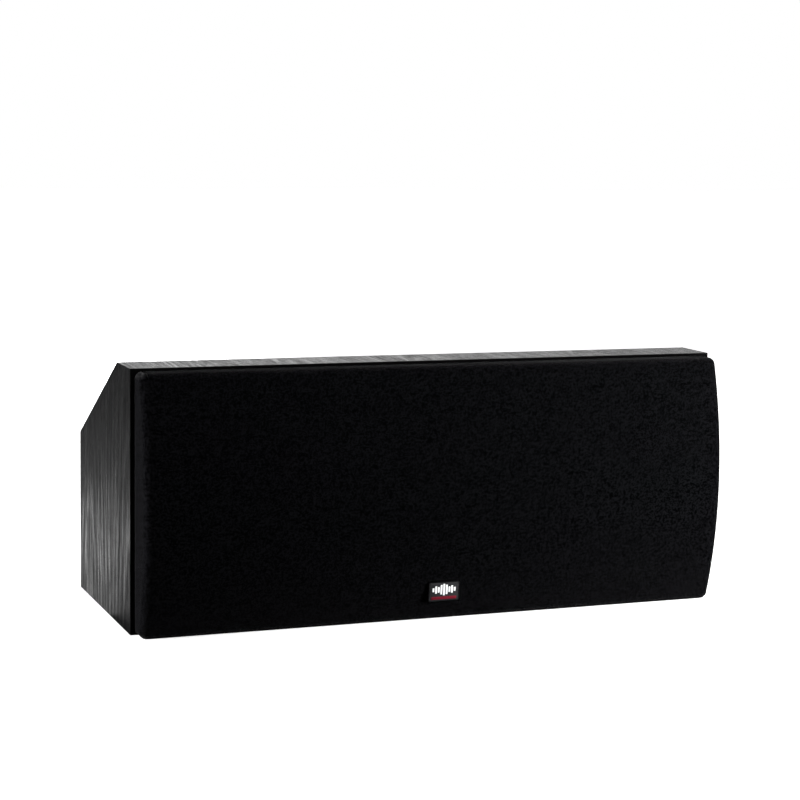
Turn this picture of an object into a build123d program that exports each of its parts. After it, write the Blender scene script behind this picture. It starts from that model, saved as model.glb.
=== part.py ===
from build123d import *
import os
from math import cos, hypot, radians, sin, sqrt, tan

# Centre-channel loudspeaker for a home cinema: a wide, low cabinet of veneered board with a sloped
# rear top, two cone woofers either side of a dome tweeter, a bowed cloth grille on push-in pegs, and
# a recessed terminal cup with a crossover board behind it.
# Millimetres. +X is the listener's right, -Y is the front, +Z is up. The origin is on the floor, under
# the middle of the whole speaker. Drivers and terminals are drawn about their own +Z axis, with zero
# at the face of the board that they are fixed to, and are then turned into place.

# Cabinet
CABINET_WIDTH = 457.0
CABINET_HEIGHT = 190.5
CABINET_DEPTH = 162.5
TOP_DEPTH = 40.0
REAR_HEIGHT = 123.0
BOARD = 15.0
BAFFLE = 15.0
EDGE_ROUND = 0.5

# Grille, with depths counted forward from the front of the cabinet
GRILLE_SIDE_INSET = 2.8
GRILLE_TOP_INSET = 1.8
GRILLE_BOTTOM_INSET = 0.25
GRILLE_GAP = 2.5
GRILLE_EDGE_DEPTH = 18.5
GRILLE_BOW = 15.0
GRILLE_ROUND = 5.5
CLOTH = 0.8
CLOTH_HEM = 3.0
GRILLE_WALL = 3.5
GRILLE_LIP = 16.0
WINDOW_ROUND = 45.0
MIDDLE_WINDOW_HEIGHT = 116.0
MIDDLE_WINDOW_ROUND = 20.0
RIB_WIDTH = 10.0
RIB_WEB = 2.5
RIB_DEPTH = 9.0

# Pegs on the grille, and the rubber sockets in the baffle that hold them
PEG_R = 3.0
PEG_LENGTH = 10.0
PEG_POINT = 0.8
PEG_BOSS_R = 6.0
PEG_FROM_SIDE = 25.5
PEG_FROM_TOP = 27.25
PEG_CLEARANCE = 0.08
SOCKET_FLANGE_R = 7.5
SOCKET_FLANGE = 1.5
SOCKET_WALL = 1.8
SOCKET_DEPTH = 12.0
SOCKET_FLOOR = 1.2
SEAT_CLEARANCE = 0.2

# Badge on the cloth: its face, its thickness at the upper edge and its lean from upright in degrees
BADGE_WIDTH = 24.0
BADGE_HEIGHT = 14.5
BADGE_THICKNESS = 1.6
BADGE_FRAME = 0.6
BADGE_RECESS = 0.5
BADGE_ROUND = 1.0
BADGE_Z = 22.8
BADGE_LEAN = 5.0
BADGE_SEAT = 0.12

# Woofers: radii and depths about the driver's own axis
WOOFER_FROM_SIDE = 90.5
WOOFER_R = 68.0
STEEL = 1.2
STEP_R = 57.8
LANDING_R = 53.5
LANDING_DEPTH = 3.4
SHELF_OUTER_R = 38.0
SHELF_INNER_R = 33.0
SHELF_DEPTH = 27.0
FRAME_DEPTH = 39.0
FRAME_HOLE_R = 20.0
FRAME_LEGS = 6
LEG_WIDTH = 14.0
WINDOW_MARGIN = 3.0
CUTOUT_CLEARANCE = 1.0
RUBBER = 0.8
ROLL_R = 4.0
LIP_WIDTH = 3.0
FIT = 0.2
CONE_WALL = 0.8
CONE_DROP = 18.0
DUST_CAP_R = 18.0
DUST_CAP_RISE = 6.0
DUST_CAP_WALL = 0.6
COIL_R = 12.9
FORMER_WALL = 0.4
WINDING = 0.5
WINDING_LENGTH = 11.0
NECK_OVERLAP = 1.0
SPIDER_WALL = 0.5
SPIDER_WAVES = 4
SPIDER_WAVE_HEIGHT = 1.6
SPIDER_COLLAR = 3.0
AIR_GAP = 0.5
PLATE_R = 36.0
PLATE = 5.0
MAGNET_R = 40.0
MAGNET_HOLE_R = 20.0
MAGNET = 15.0
VENT_R = 4.0
GASKET_WIDTH = 2.8
GASKET_PROUD = 0.8
WOOFER_SCREWS = 4
WOOFER_SCREW_R = 63.0

# Tweeter
TWEETER_R = 50.0
FACEPLATE = 4.0
FACEPLATE_BEVEL = 1.0
FLARE_R = 36.0
FLARE_FLOOR = 1.2
THROAT_R = 17.5
DOME_SEAT_R = 20.5
DOME_SEAT = 0.5
DOME_R = 12.6
DOME_RISE = 5.2
DOME_FLAT = 1.0
DOME_ROLL_R = 1.6
DOME_WALL = 0.4
TWEETER_FORMER_WALL = 0.3
TWEETER_WINDING = 0.4
TWEETER_COIL_LENGTH = 4.4
TWEETER_WINDING_LENGTH = 3.0
TWEETER_PLATE_R = 27.5
TWEETER_PLATE = 4.0
TWEETER_MAGNET_R = 30.0
TWEETER_MAGNET_HOLE_R = 17.0
TWEETER_MAGNET = 8.0
TWEETER_CUTOUT_CLEARANCE = 2.5
TWEETER_SCREWS = 4
TWEETER_SCREW_R = 44.0

# Wood screws for the drivers and for the terminal cup
SCREW_HEAD_R = 3.4
SCREW_CROWN_R = 2.4
SCREW_HEAD = 2.2
SCREW_R = 1.75
SCREW_BITE = 12.0
SCREW_HOLE_CLEARANCE = 0.4
PILOT_CLEARANCE = 0.1
OVERCUT = 1.0

# Terminal cup in the rear panel
TERMINAL_Z = 61.5
CUP_WIDTH = 70.0
CUP_HEIGHT = 46.0
CUP_ROUND = 9.0
CUP_DEPTH = 21.0
CUP_WALL = 2.5
CUP_FLANGE = 2.5
CUP_FLANGE_WIDTH = 9.0
CUP_SCREW_INSET = 6.75
CUP_TAPER = 6.0
CUP_CLEARANCE = 1.0
CUP_GASKET = 1.0
CUP_BOSS = 4.0

# Binding posts and the crossover board that they hold
POST_SPACING = 19.0
POST_R = 3.0
POST_BASE_R = 6.0
POST_BASE = 2.5
POST_STEM = 14.0
POST_HOLE_CLEARANCE = 0.1
BANANA_R = 2.0
BANANA_DEPTH = 10.0
WIRE_HOLE_R = 1.1
WIRE_HOLE_HEIGHT = 1.8
POST_TAIL = 3.0
KNOB_R = 6.4
KNOB_LENGTH = 16.0
KNOB_CLEARANCE = 0.06
KNOB_MOUTH_R = 2.5
KNOB_SEAT = 0.1
KNOB_BEVEL = 0.8
FLUTES = 12
FLUTE_R = 0.9
NUT_FLATS = 10.0
NUT = 4.0
CROSSOVER_WIDTH = 112.0
CROSSOVER_HEIGHT = 78.0
CROSSOVER_BOARD = 1.6
BIG_COIL_R = 18.0
BIG_COIL_HEIGHT = 18.0
BIG_COIL_HOLE_R = 6.0
SMALL_COIL_R = 13.0
SMALL_COIL_HEIGHT = 14.0
SMALL_COIL_HOLE_R = 4.0
BOBBIN_FLANGE = 1.5
BOBBIN_PROUD = 1.5
CAN_R = 8.0
CAN_LENGTH = 32.0
FILM_LENGTH = 30.0
FILM_WIDTH = 13.0
FILM_HEIGHT = 21.0
RESISTOR_LENGTH = 25.0
RESISTOR_SIDE = 9.0
PART_ROUND = 1.0
PART_EDGE_GAP = 3.0

# Solder-tag strips on the drivers, and the leads from the board to them
STRIP_WIDTH = 16.0
STRIP_HEIGHT = 9.0
STRIP = 2.0
TAG_LENGTH = 7.0
TAG_WIDTH = 4.8
TAG = 0.8
TAG_SPACING = 9.6
LEAD_R = 1.4
LEAD_RUN_OUT = 26.0
LEAD_RUN_IN = 30.0
LEAD_SLACK_X = 30.0
LEAD_SLACK_Y = 25.0
LEAD_PAD_X = 12.0
LEAD_PAD_Z = 16.0
LEAD_BEND_SHARE = 0.45

# Wadding glued under the sloped panel
WADDING = 20.0
WADDING_LENGTH = 95.0
WADDING_FROM_REAR = 10.0
WADDING_END_GAP = 1.0

# Places that follow from the sizes above
GRILLE_REACH = GRILLE_EDGE_DEPTH + GRILLE_BOW
REAR_PROUD = CUP_GASKET + CUP_FLANGE
FRONT = (GRILLE_REACH - CABINET_DEPTH - REAR_PROUD) / 2
REAR = FRONT + CABINET_DEPTH
AXIS_Z = CABINET_HEIGHT / 2
WOOFER_X = CABINET_WIDTH / 2 - WOOFER_FROM_SIDE
WOOFER_CUTOUT_R = STEP_R + STEEL + CUTOUT_CLEARANCE
TWEETER_CUTOUT_R = TWEETER_MAGNET_R + TWEETER_CUTOUT_CLEARANCE
PEG_X = CABINET_WIDTH / 2 - PEG_FROM_SIDE
PEG_Z = CABINET_HEIGHT / 2 - PEG_FROM_TOP
PEG_PLACES = [(x, AXIS_Z + z) for x in (-PEG_X, 0, PEG_X) for z in (-PEG_Z, PEG_Z)]
SOCKET_R = PEG_R + PEG_CLEARANCE + SOCKET_WALL
RIB_X = (TWEETER_R + WOOFER_X - WOOFER_R) / 2
FLANGE_GROWTH = CUP_CLEARANCE + 2 * CUP_FLANGE_WIDTH
CUP_SCREW_X = (CUP_WIDTH + FLANGE_GROWTH) / 2 - CUP_SCREW_INSET
CUP_SCREW_Z = (CUP_HEIGHT + FLANGE_GROWTH) / 2 - CUP_SCREW_INSET
SCREW_ANGLE = 45.0
FULL_TURN = 360.0


def facing_front(shape, x, z):
    """Turns a shape drawn about +Z to look forward from the front of the cabinet."""
    return Pos(x, FRONT, z) * Rot(90, 0, 0) * shape


def facing_rear(shape, x, z):
    """Turns a shape drawn about +Z to look backward from the rear panel. Its +Y stays up."""
    return Pos(x, REAR, z) * Rot(90, 0, 0) * Rot(0, 180, 0) * shape


def turned(*corners):
    """A solid turned about Z from the (radius, height) corners of half its section."""
    return revolve(Plane.XZ * make_face(Polyline(*corners, close=True)), Axis.Z)


def pressed(path, thickness, side):
    """A solid of revolution of even thickness on one side of an open (radius, height) path."""
    return revolve(Plane.XZ * make_face(offset(path, thickness, side=side, kind=Kind.INTERSECTION)), Axis.Z)


def ring(outer, inner, bottom, top):
    """A flat ring or tube about Z."""
    return turned((inner, bottom), (outer, bottom), (outer, top), (inner, top))


def disc(radius, bottom, top):
    """A plain cylinder about Z between two heights."""
    return Pos(0, 0, bottom) * extrude(Circle(radius), top - bottom)


def around(count, radius, shape):
    """Copies of a shape on a circle about Z, first copy between two quarter lines."""
    places = [SCREW_ANGLE + FULL_TURN * k / count for k in range(count)]
    return [Pos(radius * cos(radians(a)), radius * sin(radians(a)), 0) * shape for a in places]


def wood_screw(seat):
    """A pan-head wood screw whose head sits at height seat and whose shank goes SCREW_BITE below zero."""
    return turned(
        (0, -SCREW_BITE), (SCREW_R, -SCREW_BITE + SCREW_R), (SCREW_R, seat), (SCREW_HEAD_R, seat),
        (SCREW_HEAD_R, seat + SCREW_HEAD / 2), (SCREW_CROWN_R, seat + SCREW_HEAD), (0, seat + SCREW_HEAD),
    )


def flush_screw(seat):
    """A countersunk wood screw whose head ends level with height seat."""
    return turned(
        (0, -SCREW_BITE), (SCREW_R, -SCREW_BITE + SCREW_R), (SCREW_R, seat - SCREW_HEAD),
        (SCREW_HEAD_R, seat), (0, seat),
    )


# Cabinet panels


def inner_corner(before, corner, after):
    """The corner of a profile moved in by one board from both of its edges."""
    def inward(a, b):
        length = hypot(b[0] - a[0], b[1] - a[1])
        return (-(b[1] - a[1]) / length, (b[0] - a[0]) / length)

    n, m = inward(before, corner), inward(corner, after)
    reach = BOARD / (1 + n[0] * m[0] + n[1] * m[1])
    return (corner[0] + reach * (n[0] + m[0]), corner[1] + reach * (n[1] + m[1]))


OUTLINE = [
    (FRONT, 0), (REAR, 0), (REAR, REAR_HEIGHT), (FRONT + TOP_DEPTH, CABINET_HEIGHT), (FRONT, CABINET_HEIGHT),
]
INLINE = [(FRONT, BOARD)]
INLINE += [inner_corner(*OUTLINE[k - 1:k + 2]) for k in (1, 2, 3)]
INLINE += [(FRONT, CABINET_HEIGHT - BOARD)]
WRAP_PANELS = ["bottom_panel", "rear_panel", "sloped_rear_panel", "top_panel"]


def prism(profile, width):
    """A (y, z) outline carried across the cabinet, centred on X."""
    return extrude(Plane.YZ * make_face(Polyline(*profile, close=True)), width / 2, both=True)


def end_mitre(edge, side):
    """The 45 degree plane between one panel of the wrap and the end panel on that side."""
    (y0, z0), (y1, z1) = OUTLINE[edge], OUTLINE[edge + 1]
    length = hypot(y1 - y0, z1 - z0)
    outward = ((z1 - z0) / length, -(y1 - y0) / length)
    return Plane(origin=(side * CABINET_WIDTH / 2, y0, z0), z_dir=(side, -outward[0], -outward[1]))


def cabinet_panels():
    """Six boards that meet in mitres, with the wrapped outer edges softly rounded."""
    block = prism(OUTLINE, CABINET_WIDTH)
    block = fillet(block.edges(), EDGE_ROUND)
    panels = {}
    for k, name in enumerate(WRAP_PANELS):
        board = prism([OUTLINE[k], OUTLINE[k + 1], INLINE[k + 1], INLINE[k]], CABINET_WIDTH) & block
        for side in (-1, 1):
            board = split(board, bisect_by=end_mitre(k, side), keep=Keep.BOTTOM)
        panels[name] = board
    for name, side in (("left_end_panel", -1), ("right_end_panel", 1)):
        board = block & Pos(side * (CABINET_WIDTH - BOARD) / 2, 0, AXIS_Z) * Box(
            BOARD, 2 * CABINET_DEPTH, CABINET_HEIGHT)
        for k in range(len(WRAP_PANELS)):
            board = split(board, bisect_by=end_mitre(k, side), keep=Keep.TOP)
        panels[name] = board
    return panels


def cup_cutout():
    """The opening in the rear panel for the terminal cup, with its four pilot holes."""
    hole = RectangleRounded(CUP_WIDTH + CUP_CLEARANCE, CUP_HEIGHT + CUP_CLEARANCE, CUP_ROUND)
    cut = Pos(0, 0, -BOARD - OVERCUT) * extrude(hole, BOARD + 2 * OVERCUT)
    pilot = disc(SCREW_R + PILOT_CLEARANCE, -SCREW_BITE - OVERCUT, OVERCUT)
    return Part() + [cut] + [Pos(x, z, 0) * pilot for x, z in CUP_SCREW_PLACES]


def front_baffle():
    """The board that carries the drivers and the grille sockets."""
    width, height = CABINET_WIDTH - 2 * BOARD, CABINET_HEIGHT - 2 * BOARD
    board = extrude(Rectangle(width, height), -BAFFLE)
    pilot = disc(SCREW_R + PILOT_CLEARANCE, -SCREW_BITE - OVERCUT, OVERCUT)
    for x in (-WOOFER_X, WOOFER_X):
        board -= Pos(x, 0, 0) * disc(WOOFER_CUTOUT_R, -BAFFLE - OVERCUT, OVERCUT)
        board -= [Pos(x, 0, 0) * hole for hole in around(WOOFER_SCREWS, WOOFER_SCREW_R, pilot)]
    board -= disc(TWEETER_CUTOUT_R, -BAFFLE - OVERCUT, OVERCUT)
    board -= around(TWEETER_SCREWS, TWEETER_SCREW_R, pilot)
    socket = disc(SOCKET_R + PILOT_CLEARANCE, -SOCKET_DEPTH - FIT, OVERCUT)
    board -= [Pos(x, z - AXIS_Z, 0) * socket for x, z in PEG_PLACES]
    return facing_front(board, 0, AXIS_Z)


def damping_wadding():
    """A strip of wadding glued to the inner face of the sloped panel."""
    (y0, z0), (y1, z1) = INLINE[2], INLINE[3]
    length = hypot(y1 - y0, z1 - z0)
    along = ((y1 - y0) / length, (z1 - z0) / length)
    inward = (-along[1], along[0])
    near, far = WADDING_FROM_REAR, WADDING_FROM_REAR + WADDING_LENGTH
    corners = [(near, 0), (far, 0), (far, WADDING), (near, WADDING)]
    profile = [(y0 + along[0] * s + inward[0] * d, z0 + along[1] * s + inward[1] * d) for s, d in corners]
    return prism(profile, CABINET_WIDTH - 2 * BOARD - 2 * WADDING_END_GAP)


# Grille


GRILLE_WIDTH = CABINET_WIDTH - 2 * GRILLE_SIDE_INSET
GRILLE_HEIGHT = CABINET_HEIGHT - GRILLE_TOP_INSET - GRILLE_BOTTOM_INSET
GRILLE_Z = GRILLE_BOTTOM_INSET + GRILLE_HEIGHT / 2
BOW_R = ((GRILLE_HEIGHT / 2) ** 2 + GRILLE_BOW ** 2) / (2 * GRILLE_BOW)
BOW_Y = FRONT - GRILLE_REACH + BOW_R


def bowed_pocket(skin, rear):
    """The square-edged body of the grille in front of y = rear, with its surface skin below the cloth's."""
    half, bow = GRILLE_HEIGHT / 2 - skin, BOW_R - skin
    edge = BOW_Y - sqrt(bow ** 2 - half ** 2)
    top, bottom = GRILLE_Z + half, GRILLE_Z - half
    outline = Polyline((edge, top), (rear, top), (rear, bottom), (edge, bottom))
    outline += ThreePointArc((edge, bottom), (BOW_Y - bow, GRILLE_Z), (edge, top))
    return extrude(Plane.YZ * make_face(outline), GRILLE_WIDTH / 2 - skin, both=True)


def bowed_block(skin, rear):
    """The same body with its front and side edges rounded, as the cloth shows it."""
    block = bowed_pocket(skin, rear)
    soft = [edge for edge in block.edges() if edge.center().Y < rear - skin - CLOTH]
    return fillet(soft, GRILLE_ROUND - skin)


FRAME_REAR = FRONT - GRILLE_GAP - CLOTH


def grille_frame():
    """A moulded frame: a bowed shell with three windows, two ribs with webs, and six pegs on bosses."""
    body = bowed_block(CLOTH, FRAME_REAR)
    inside = CLOTH + GRILLE_WALL
    hollow = bowed_pocket(inside, FRONT)
    frame = body - hollow
    outer_edge = GRILLE_WIDTH / 2 - CLOTH - GRILLE_LIP
    inner_edge = RIB_X + RIB_WIDTH / 2
    side_window = RectangleRounded(
        outer_edge - inner_edge, GRILLE_HEIGHT - 2 * CLOTH - 2 * GRILLE_LIP, WINDOW_ROUND)
    middle_window = RectangleRounded(2 * RIB_X - RIB_WIDTH, MIDDLE_WINDOW_HEIGHT, MIDDLE_WINDOW_ROUND)
    for x, window in ((-1, side_window), (0, middle_window), (1, side_window)):
        frame -= facing_front(
            extrude(window, GRILLE_REACH), x * (outer_edge + inner_edge) / 2, GRILLE_Z)
    web = hollow - bowed_pocket(inside + RIB_DEPTH, FRONT)
    for x in (-RIB_X, RIB_X):
        frame += web & Pos(x, FRONT - GRILLE_REACH, GRILLE_Z) * Box(
            RIB_WEB, 2 * (GRILLE_REACH - GRILLE_GAP - CLOTH), GRILLE_HEIGHT)
    boss_end = SOCKET_FLANGE + SEAT_CLEARANCE
    boss = disc(PEG_BOSS_R, boss_end, GRILLE_REACH)
    peg_end = boss_end - PEG_LENGTH
    peg = turned((0, peg_end), (PEG_R - PEG_POINT, peg_end), (PEG_R, peg_end + PEG_POINT),
                 (PEG_R, boss_end + PEG_POINT), (0, boss_end + PEG_POINT))
    within = bowed_block(CLOTH, FRONT)
    for x, z in PEG_PLACES:
        frame += facing_front(boss, x, z) & within
        frame += facing_front(peg, x, z)
    return frame


def grille_cloth():
    """Knitted cloth stretched over the frame, turned under its rear edge by a narrow hem."""
    cloth = bowed_block(0, FRONT - GRILLE_GAP) - bowed_block(CLOTH, FRAME_REAR)
    opening = Rectangle(GRILLE_WIDTH - 2 * CLOTH - 2 * CLOTH_HEM, GRILLE_HEIGHT - 2 * CLOTH - 2 * CLOTH_HEM)
    return cloth - facing_front(extrude(opening, GRILLE_GAP + 2 * CLOTH), 0, GRILLE_Z)


def grille_badge():
    """A small plate with a raised frame. It stands more upright than the cloth, so its back is a wedge."""
    lean = radians(BADGE_LEAN)
    half_rise, half_run = BADGE_HEIGHT / 2 * cos(lean), BADGE_HEIGHT / 2 * sin(lean)
    cloth_y = BOW_Y - sqrt(BOW_R ** 2 - (BADGE_Z + half_rise - GRILLE_Z) ** 2)
    face = Plane(origin=(0, cloth_y - BADGE_THICKNESS + half_run, BADGE_Z), x_dir=(1, 0, 0),
                 z_dir=(0, -cos(lean), -sin(lean)))
    plate = extrude(RectangleRounded(BADGE_WIDTH, BADGE_HEIGHT, BADGE_ROUND), -BADGE_THICKNESS - BADGE_HEIGHT)
    field = RectangleRounded(BADGE_WIDTH - 2 * BADGE_FRAME, BADGE_HEIGHT - 2 * BADGE_FRAME, BADGE_ROUND / 2)
    plate -= extrude(field, -BADGE_RECESS)
    bow = Pos(0, BOW_Y, GRILLE_Z) * Rot(0, 90, 0) * Cylinder(BOW_R + BADGE_SEAT, GRILLE_WIDTH)
    return face * plate - bow


def grille_sockets():
    """Rubber cups pressed into the baffle, one for each peg."""
    bore = PEG_R + PEG_CLEARANCE
    floor = SOCKET_FLOOR - SOCKET_DEPTH
    cup = turned((0, -SOCKET_DEPTH), (SOCKET_R, -SOCKET_DEPTH), (SOCKET_R, 0), (SOCKET_FLANGE_R, 0),
                 (SOCKET_FLANGE_R, SOCKET_FLANGE), (bore, SOCKET_FLANGE), (bore, floor), (0, floor))
    return [facing_front(cup, x, z) for x, z in PEG_PLACES]


# Woofer, front to back


ROLL_MIDDLE_R = LANDING_R - ROLL_R
CONE_EDGE_R = LANDING_R - 2 * ROLL_R
CONE_TOP_R = CONE_EDGE_R - LIP_WIDTH
NECK_R = COIL_R + FIT
POLE_R = COIL_R - FORMER_WALL - FIT * 2
PLATE_TOP = -FRAME_DEPTH - STEEL
MAGNET_TOP = PLATE_TOP - PLATE
YOKE_TOP = MAGNET_TOP - MAGNET


def cone_height(radius):
    """Height of the cone's front face at a radius."""
    return -LANDING_DEPTH - CONE_DROP * (CONE_TOP_R - radius) / (CONE_TOP_R - NECK_R)


def woofer_basket():
    """A pressed-steel frame: flange, recessed landing, open legs, spider shelf and magnet seat."""
    path = Polyline(
        (WOOFER_R, STEEL), (STEP_R, STEEL), (STEP_R, -LANDING_DEPTH), (LANDING_R, -LANDING_DEPTH),
        (SHELF_OUTER_R, -SHELF_DEPTH), (SHELF_INNER_R, -SHELF_DEPTH), (SHELF_INNER_R, -FRAME_DEPTH),
        (FRAME_HOLE_R, -FRAME_DEPTH))
    basket = pressed(path, STEEL, Side.LEFT)
    hole = disc(SCREW_R + SCREW_HOLE_CLEARANCE, -STEEL, 2 * STEEL)
    basket -= around(WOOFER_SCREWS, WOOFER_SCREW_R, hole)
    top, bottom = -LANDING_DEPTH - STEEL - WINDOW_MARGIN, -SHELF_DEPTH + WINDOW_MARGIN
    belt = ring(WOOFER_R, SHELF_INNER_R, bottom, top)
    for k in range(FRAME_LEGS // 2):
        belt -= Rot(0, 0, k * FULL_TURN / FRAME_LEGS) * Box(LEG_WIDTH, 2 * WOOFER_R, 2 * FRAME_DEPTH)
    return basket - belt


def woofer_surround():
    """A half-roll rubber edge, glued to the landing outside and to the cone inside."""
    level = -LANDING_DEPTH
    path = Line((STEP_R - FIT, level), (LANDING_R, level))
    path += ThreePointArc((LANDING_R, level), (ROLL_MIDDLE_R, level + ROLL_R), (CONE_EDGE_R, level))
    path += Line((CONE_EDGE_R, level), (CONE_TOP_R, level))
    return pressed(path, RUBBER, Side.RIGHT)


def woofer_gasket():
    """The ring that clamps the surround's outer lip and stands a little proud of the flange."""
    outer = STEP_R - FIT
    return ring(outer, outer - GASKET_WIDTH, -LANDING_DEPTH + RUBBER, STEEL + GASKET_PROUD)


def woofer_cone():
    """A straight cone with a flat rim under the surround's inner lip."""
    rim = -LANDING_DEPTH
    path = Polyline((CONE_EDGE_R, rim), (CONE_TOP_R, rim), (NECK_R, cone_height(NECK_R)))
    return pressed(path, CONE_WALL, Side.LEFT)


def woofer_dust_cap():
    """A domed cap glued to the cone over the voice coil."""
    base = cone_height(DUST_CAP_R) + DUST_CAP_WALL
    sphere = (DUST_CAP_R ** 2 + DUST_CAP_RISE ** 2) / (2 * DUST_CAP_RISE)
    half = DUST_CAP_R / 2
    middle = base + DUST_CAP_RISE - sphere + sqrt(sphere ** 2 - half ** 2)
    path = ThreePointArc((DUST_CAP_R, base), (half, middle), (0, base + DUST_CAP_RISE))
    return pressed(path, DUST_CAP_WALL, Side.LEFT)


def woofer_voice_coil():
    """The former with its winding, centred in the magnet's gap."""
    top = cone_height(NECK_R) + NECK_OVERLAP
    winding_top = PLATE_TOP - PLATE / 2 + WINDING_LENGTH / 2
    bottom = winding_top - WINDING_LENGTH
    inner, outer = COIL_R - FORMER_WALL, COIL_R + WINDING
    return turned((inner, top), (COIL_R, top), (COIL_R, winding_top), (outer, winding_top), (outer, bottom),
                  (inner, bottom))


def woofer_spider():
    """The corrugated cloth disc that centres the coil, from the shelf to the former."""
    level = -SHELF_DEPTH
    inner = NECK_R + SPIDER_COLLAR
    pitch = (SHELF_INNER_R - inner) / SPIDER_WAVES
    points = [(SHELF_OUTER_R - STEEL, level), (SHELF_INNER_R, level)]
    for k in range(SPIDER_WAVES):
        outer = SHELF_INNER_R - k * pitch
        points += [(outer - pitch / 2, level + SPIDER_WAVE_HEIGHT), (outer - pitch, level)]
    points += [(NECK_R, level)]
    return pressed(Polyline(*points), SPIDER_WALL, Side.RIGHT)


def woofer_top_plate():
    """The steel washer in front of the magnet, whose hole is the outer side of the gap."""
    return ring(PLATE_R, COIL_R + WINDING + AIR_GAP, MAGNET_TOP, PLATE_TOP)


def woofer_magnet():
    """The ferrite ring."""
    return ring(MAGNET_R, MAGNET_HOLE_R, YOKE_TOP, MAGNET_TOP)


def woofer_yoke():
    """The rear plate and pole in one piece, with a vent through the pole."""
    back = YOKE_TOP - PLATE
    return turned((VENT_R, back), (PLATE_R, back), (PLATE_R, YOKE_TOP), (POLE_R, YOKE_TOP),
                  (POLE_R, PLATE_TOP), (VENT_R, PLATE_TOP))


WOOFER_PIECES = {
    "basket": woofer_basket, "surround": woofer_surround, "gasket": woofer_gasket, "cone": woofer_cone,
    "dust_cap": woofer_dust_cap, "voice_coil": woofer_voice_coil, "spider": woofer_spider,
    "top_plate": woofer_top_plate, "magnet": woofer_magnet, "yoke": woofer_yoke,
}


def woofers():
    """Both woofers, each piece in a node of its own, and their screws in one."""
    nodes = {}
    for piece, make in WOOFER_PIECES.items():
        shape = make()
        for side, x in (("left", -WOOFER_X), ("right", WOOFER_X)):
            nodes[f"{side}_woofer_{piece}"] = facing_front(shape, x, AXIS_Z)
    screws = around(WOOFER_SCREWS, WOOFER_SCREW_R, wood_screw(STEEL))
    nodes["woofer_screws"] = [facing_front(s, x, AXIS_Z) for x in (-WOOFER_X, WOOFER_X) for s in screws]
    return nodes


# Tweeter, front to back


TWEETER_COIL_R = DOME_R - DOME_WALL + TWEETER_FORMER_WALL
TWEETER_MAGNET_TOP = -TWEETER_PLATE
TWEETER_YOKE_TOP = TWEETER_MAGNET_TOP - TWEETER_MAGNET


def tweeter_faceplate():
    """A round plate with a shallow flare round the dome."""
    plate = turned(
        (TWEETER_R, 0), (TWEETER_R, FACEPLATE - FACEPLATE_BEVEL), (TWEETER_R - FACEPLATE_BEVEL, FACEPLATE),
        (FLARE_R, FACEPLATE), (THROAT_R, FLARE_FLOOR), (THROAT_R, DOME_SEAT), (DOME_SEAT_R, DOME_SEAT),
        (DOME_SEAT_R, 0))
    hole = disc(SCREW_R + SCREW_HOLE_CLEARANCE, -OVERCUT, FACEPLATE + OVERCUT)
    return plate - around(TWEETER_SCREWS, TWEETER_SCREW_R, hole)


def tweeter_dome():
    """The silk dome and its roll in one piece, clamped between faceplate and top plate."""
    inner = DOME_R + DOME_FLAT
    outer = inner + 2 * DOME_ROLL_R
    sphere = (DOME_R ** 2 + DOME_RISE ** 2) / (2 * DOME_RISE)
    half = DOME_R / 2
    middle = DOME_RISE - sphere + sqrt(sphere ** 2 - half ** 2)
    path = Line((DOME_SEAT_R - FIT, 0), (outer, 0))
    path += ThreePointArc((outer, 0), (inner + DOME_ROLL_R, DOME_ROLL_R), (inner, 0))
    path += Line((inner, 0), (DOME_R, 0))
    path += ThreePointArc((DOME_R, 0), (half, middle), (0, DOME_RISE))
    return pressed(path, DOME_WALL, Side.RIGHT)


def tweeter_voice_coil():
    """The small former and winding under the edge of the dome."""
    top, bottom = -FIT / 2, -FIT / 2 - TWEETER_COIL_LENGTH
    winding_top = -TWEETER_PLATE / 2 + TWEETER_WINDING_LENGTH / 2
    winding_bottom = winding_top - TWEETER_WINDING_LENGTH
    inner, outer = TWEETER_COIL_R - TWEETER_FORMER_WALL, TWEETER_COIL_R + TWEETER_WINDING
    return turned((inner, top), (TWEETER_COIL_R, top), (TWEETER_COIL_R, winding_top), (outer, winding_top),
                  (outer, winding_bottom), (TWEETER_COIL_R, winding_bottom), (TWEETER_COIL_R, bottom),
                  (inner, bottom))


def tweeter_top_plate():
    """The washer behind the faceplate."""
    return ring(TWEETER_PLATE_R, TWEETER_COIL_R + TWEETER_WINDING + AIR_GAP, TWEETER_MAGNET_TOP, 0)


def tweeter_magnet():
    """The ferrite ring."""
    return ring(TWEETER_MAGNET_R, TWEETER_MAGNET_HOLE_R, TWEETER_YOKE_TOP, TWEETER_MAGNET_TOP)


def tweeter_yoke():
    """The rear plate and pole in one piece."""
    pole = TWEETER_COIL_R - TWEETER_FORMER_WALL - 2 * FIT
    bottom = TWEETER_YOKE_TOP - TWEETER_PLATE
    return turned((0, bottom), (TWEETER_PLATE_R, bottom), (TWEETER_PLATE_R, TWEETER_YOKE_TOP),
                  (pole, TWEETER_YOKE_TOP), (pole, -DOME_SEAT), (0, -DOME_SEAT))


TWEETER_PIECES = {
    "faceplate": tweeter_faceplate, "dome": tweeter_dome, "voice_coil": tweeter_voice_coil,
    "top_plate": tweeter_top_plate, "magnet": tweeter_magnet, "yoke": tweeter_yoke,
}


def tweeter():
    """The tweeter between the woofers, and its screws."""
    nodes = {f"tweeter_{piece}": facing_front(make(), 0, AXIS_Z) for piece, make in TWEETER_PIECES.items()}
    screws = around(TWEETER_SCREWS, TWEETER_SCREW_R, wood_screw(FACEPLATE))
    nodes["tweeter_screws"] = [facing_front(s, 0, AXIS_Z) for s in screws]
    return nodes


# Terminal cup, binding posts and crossover


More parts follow.
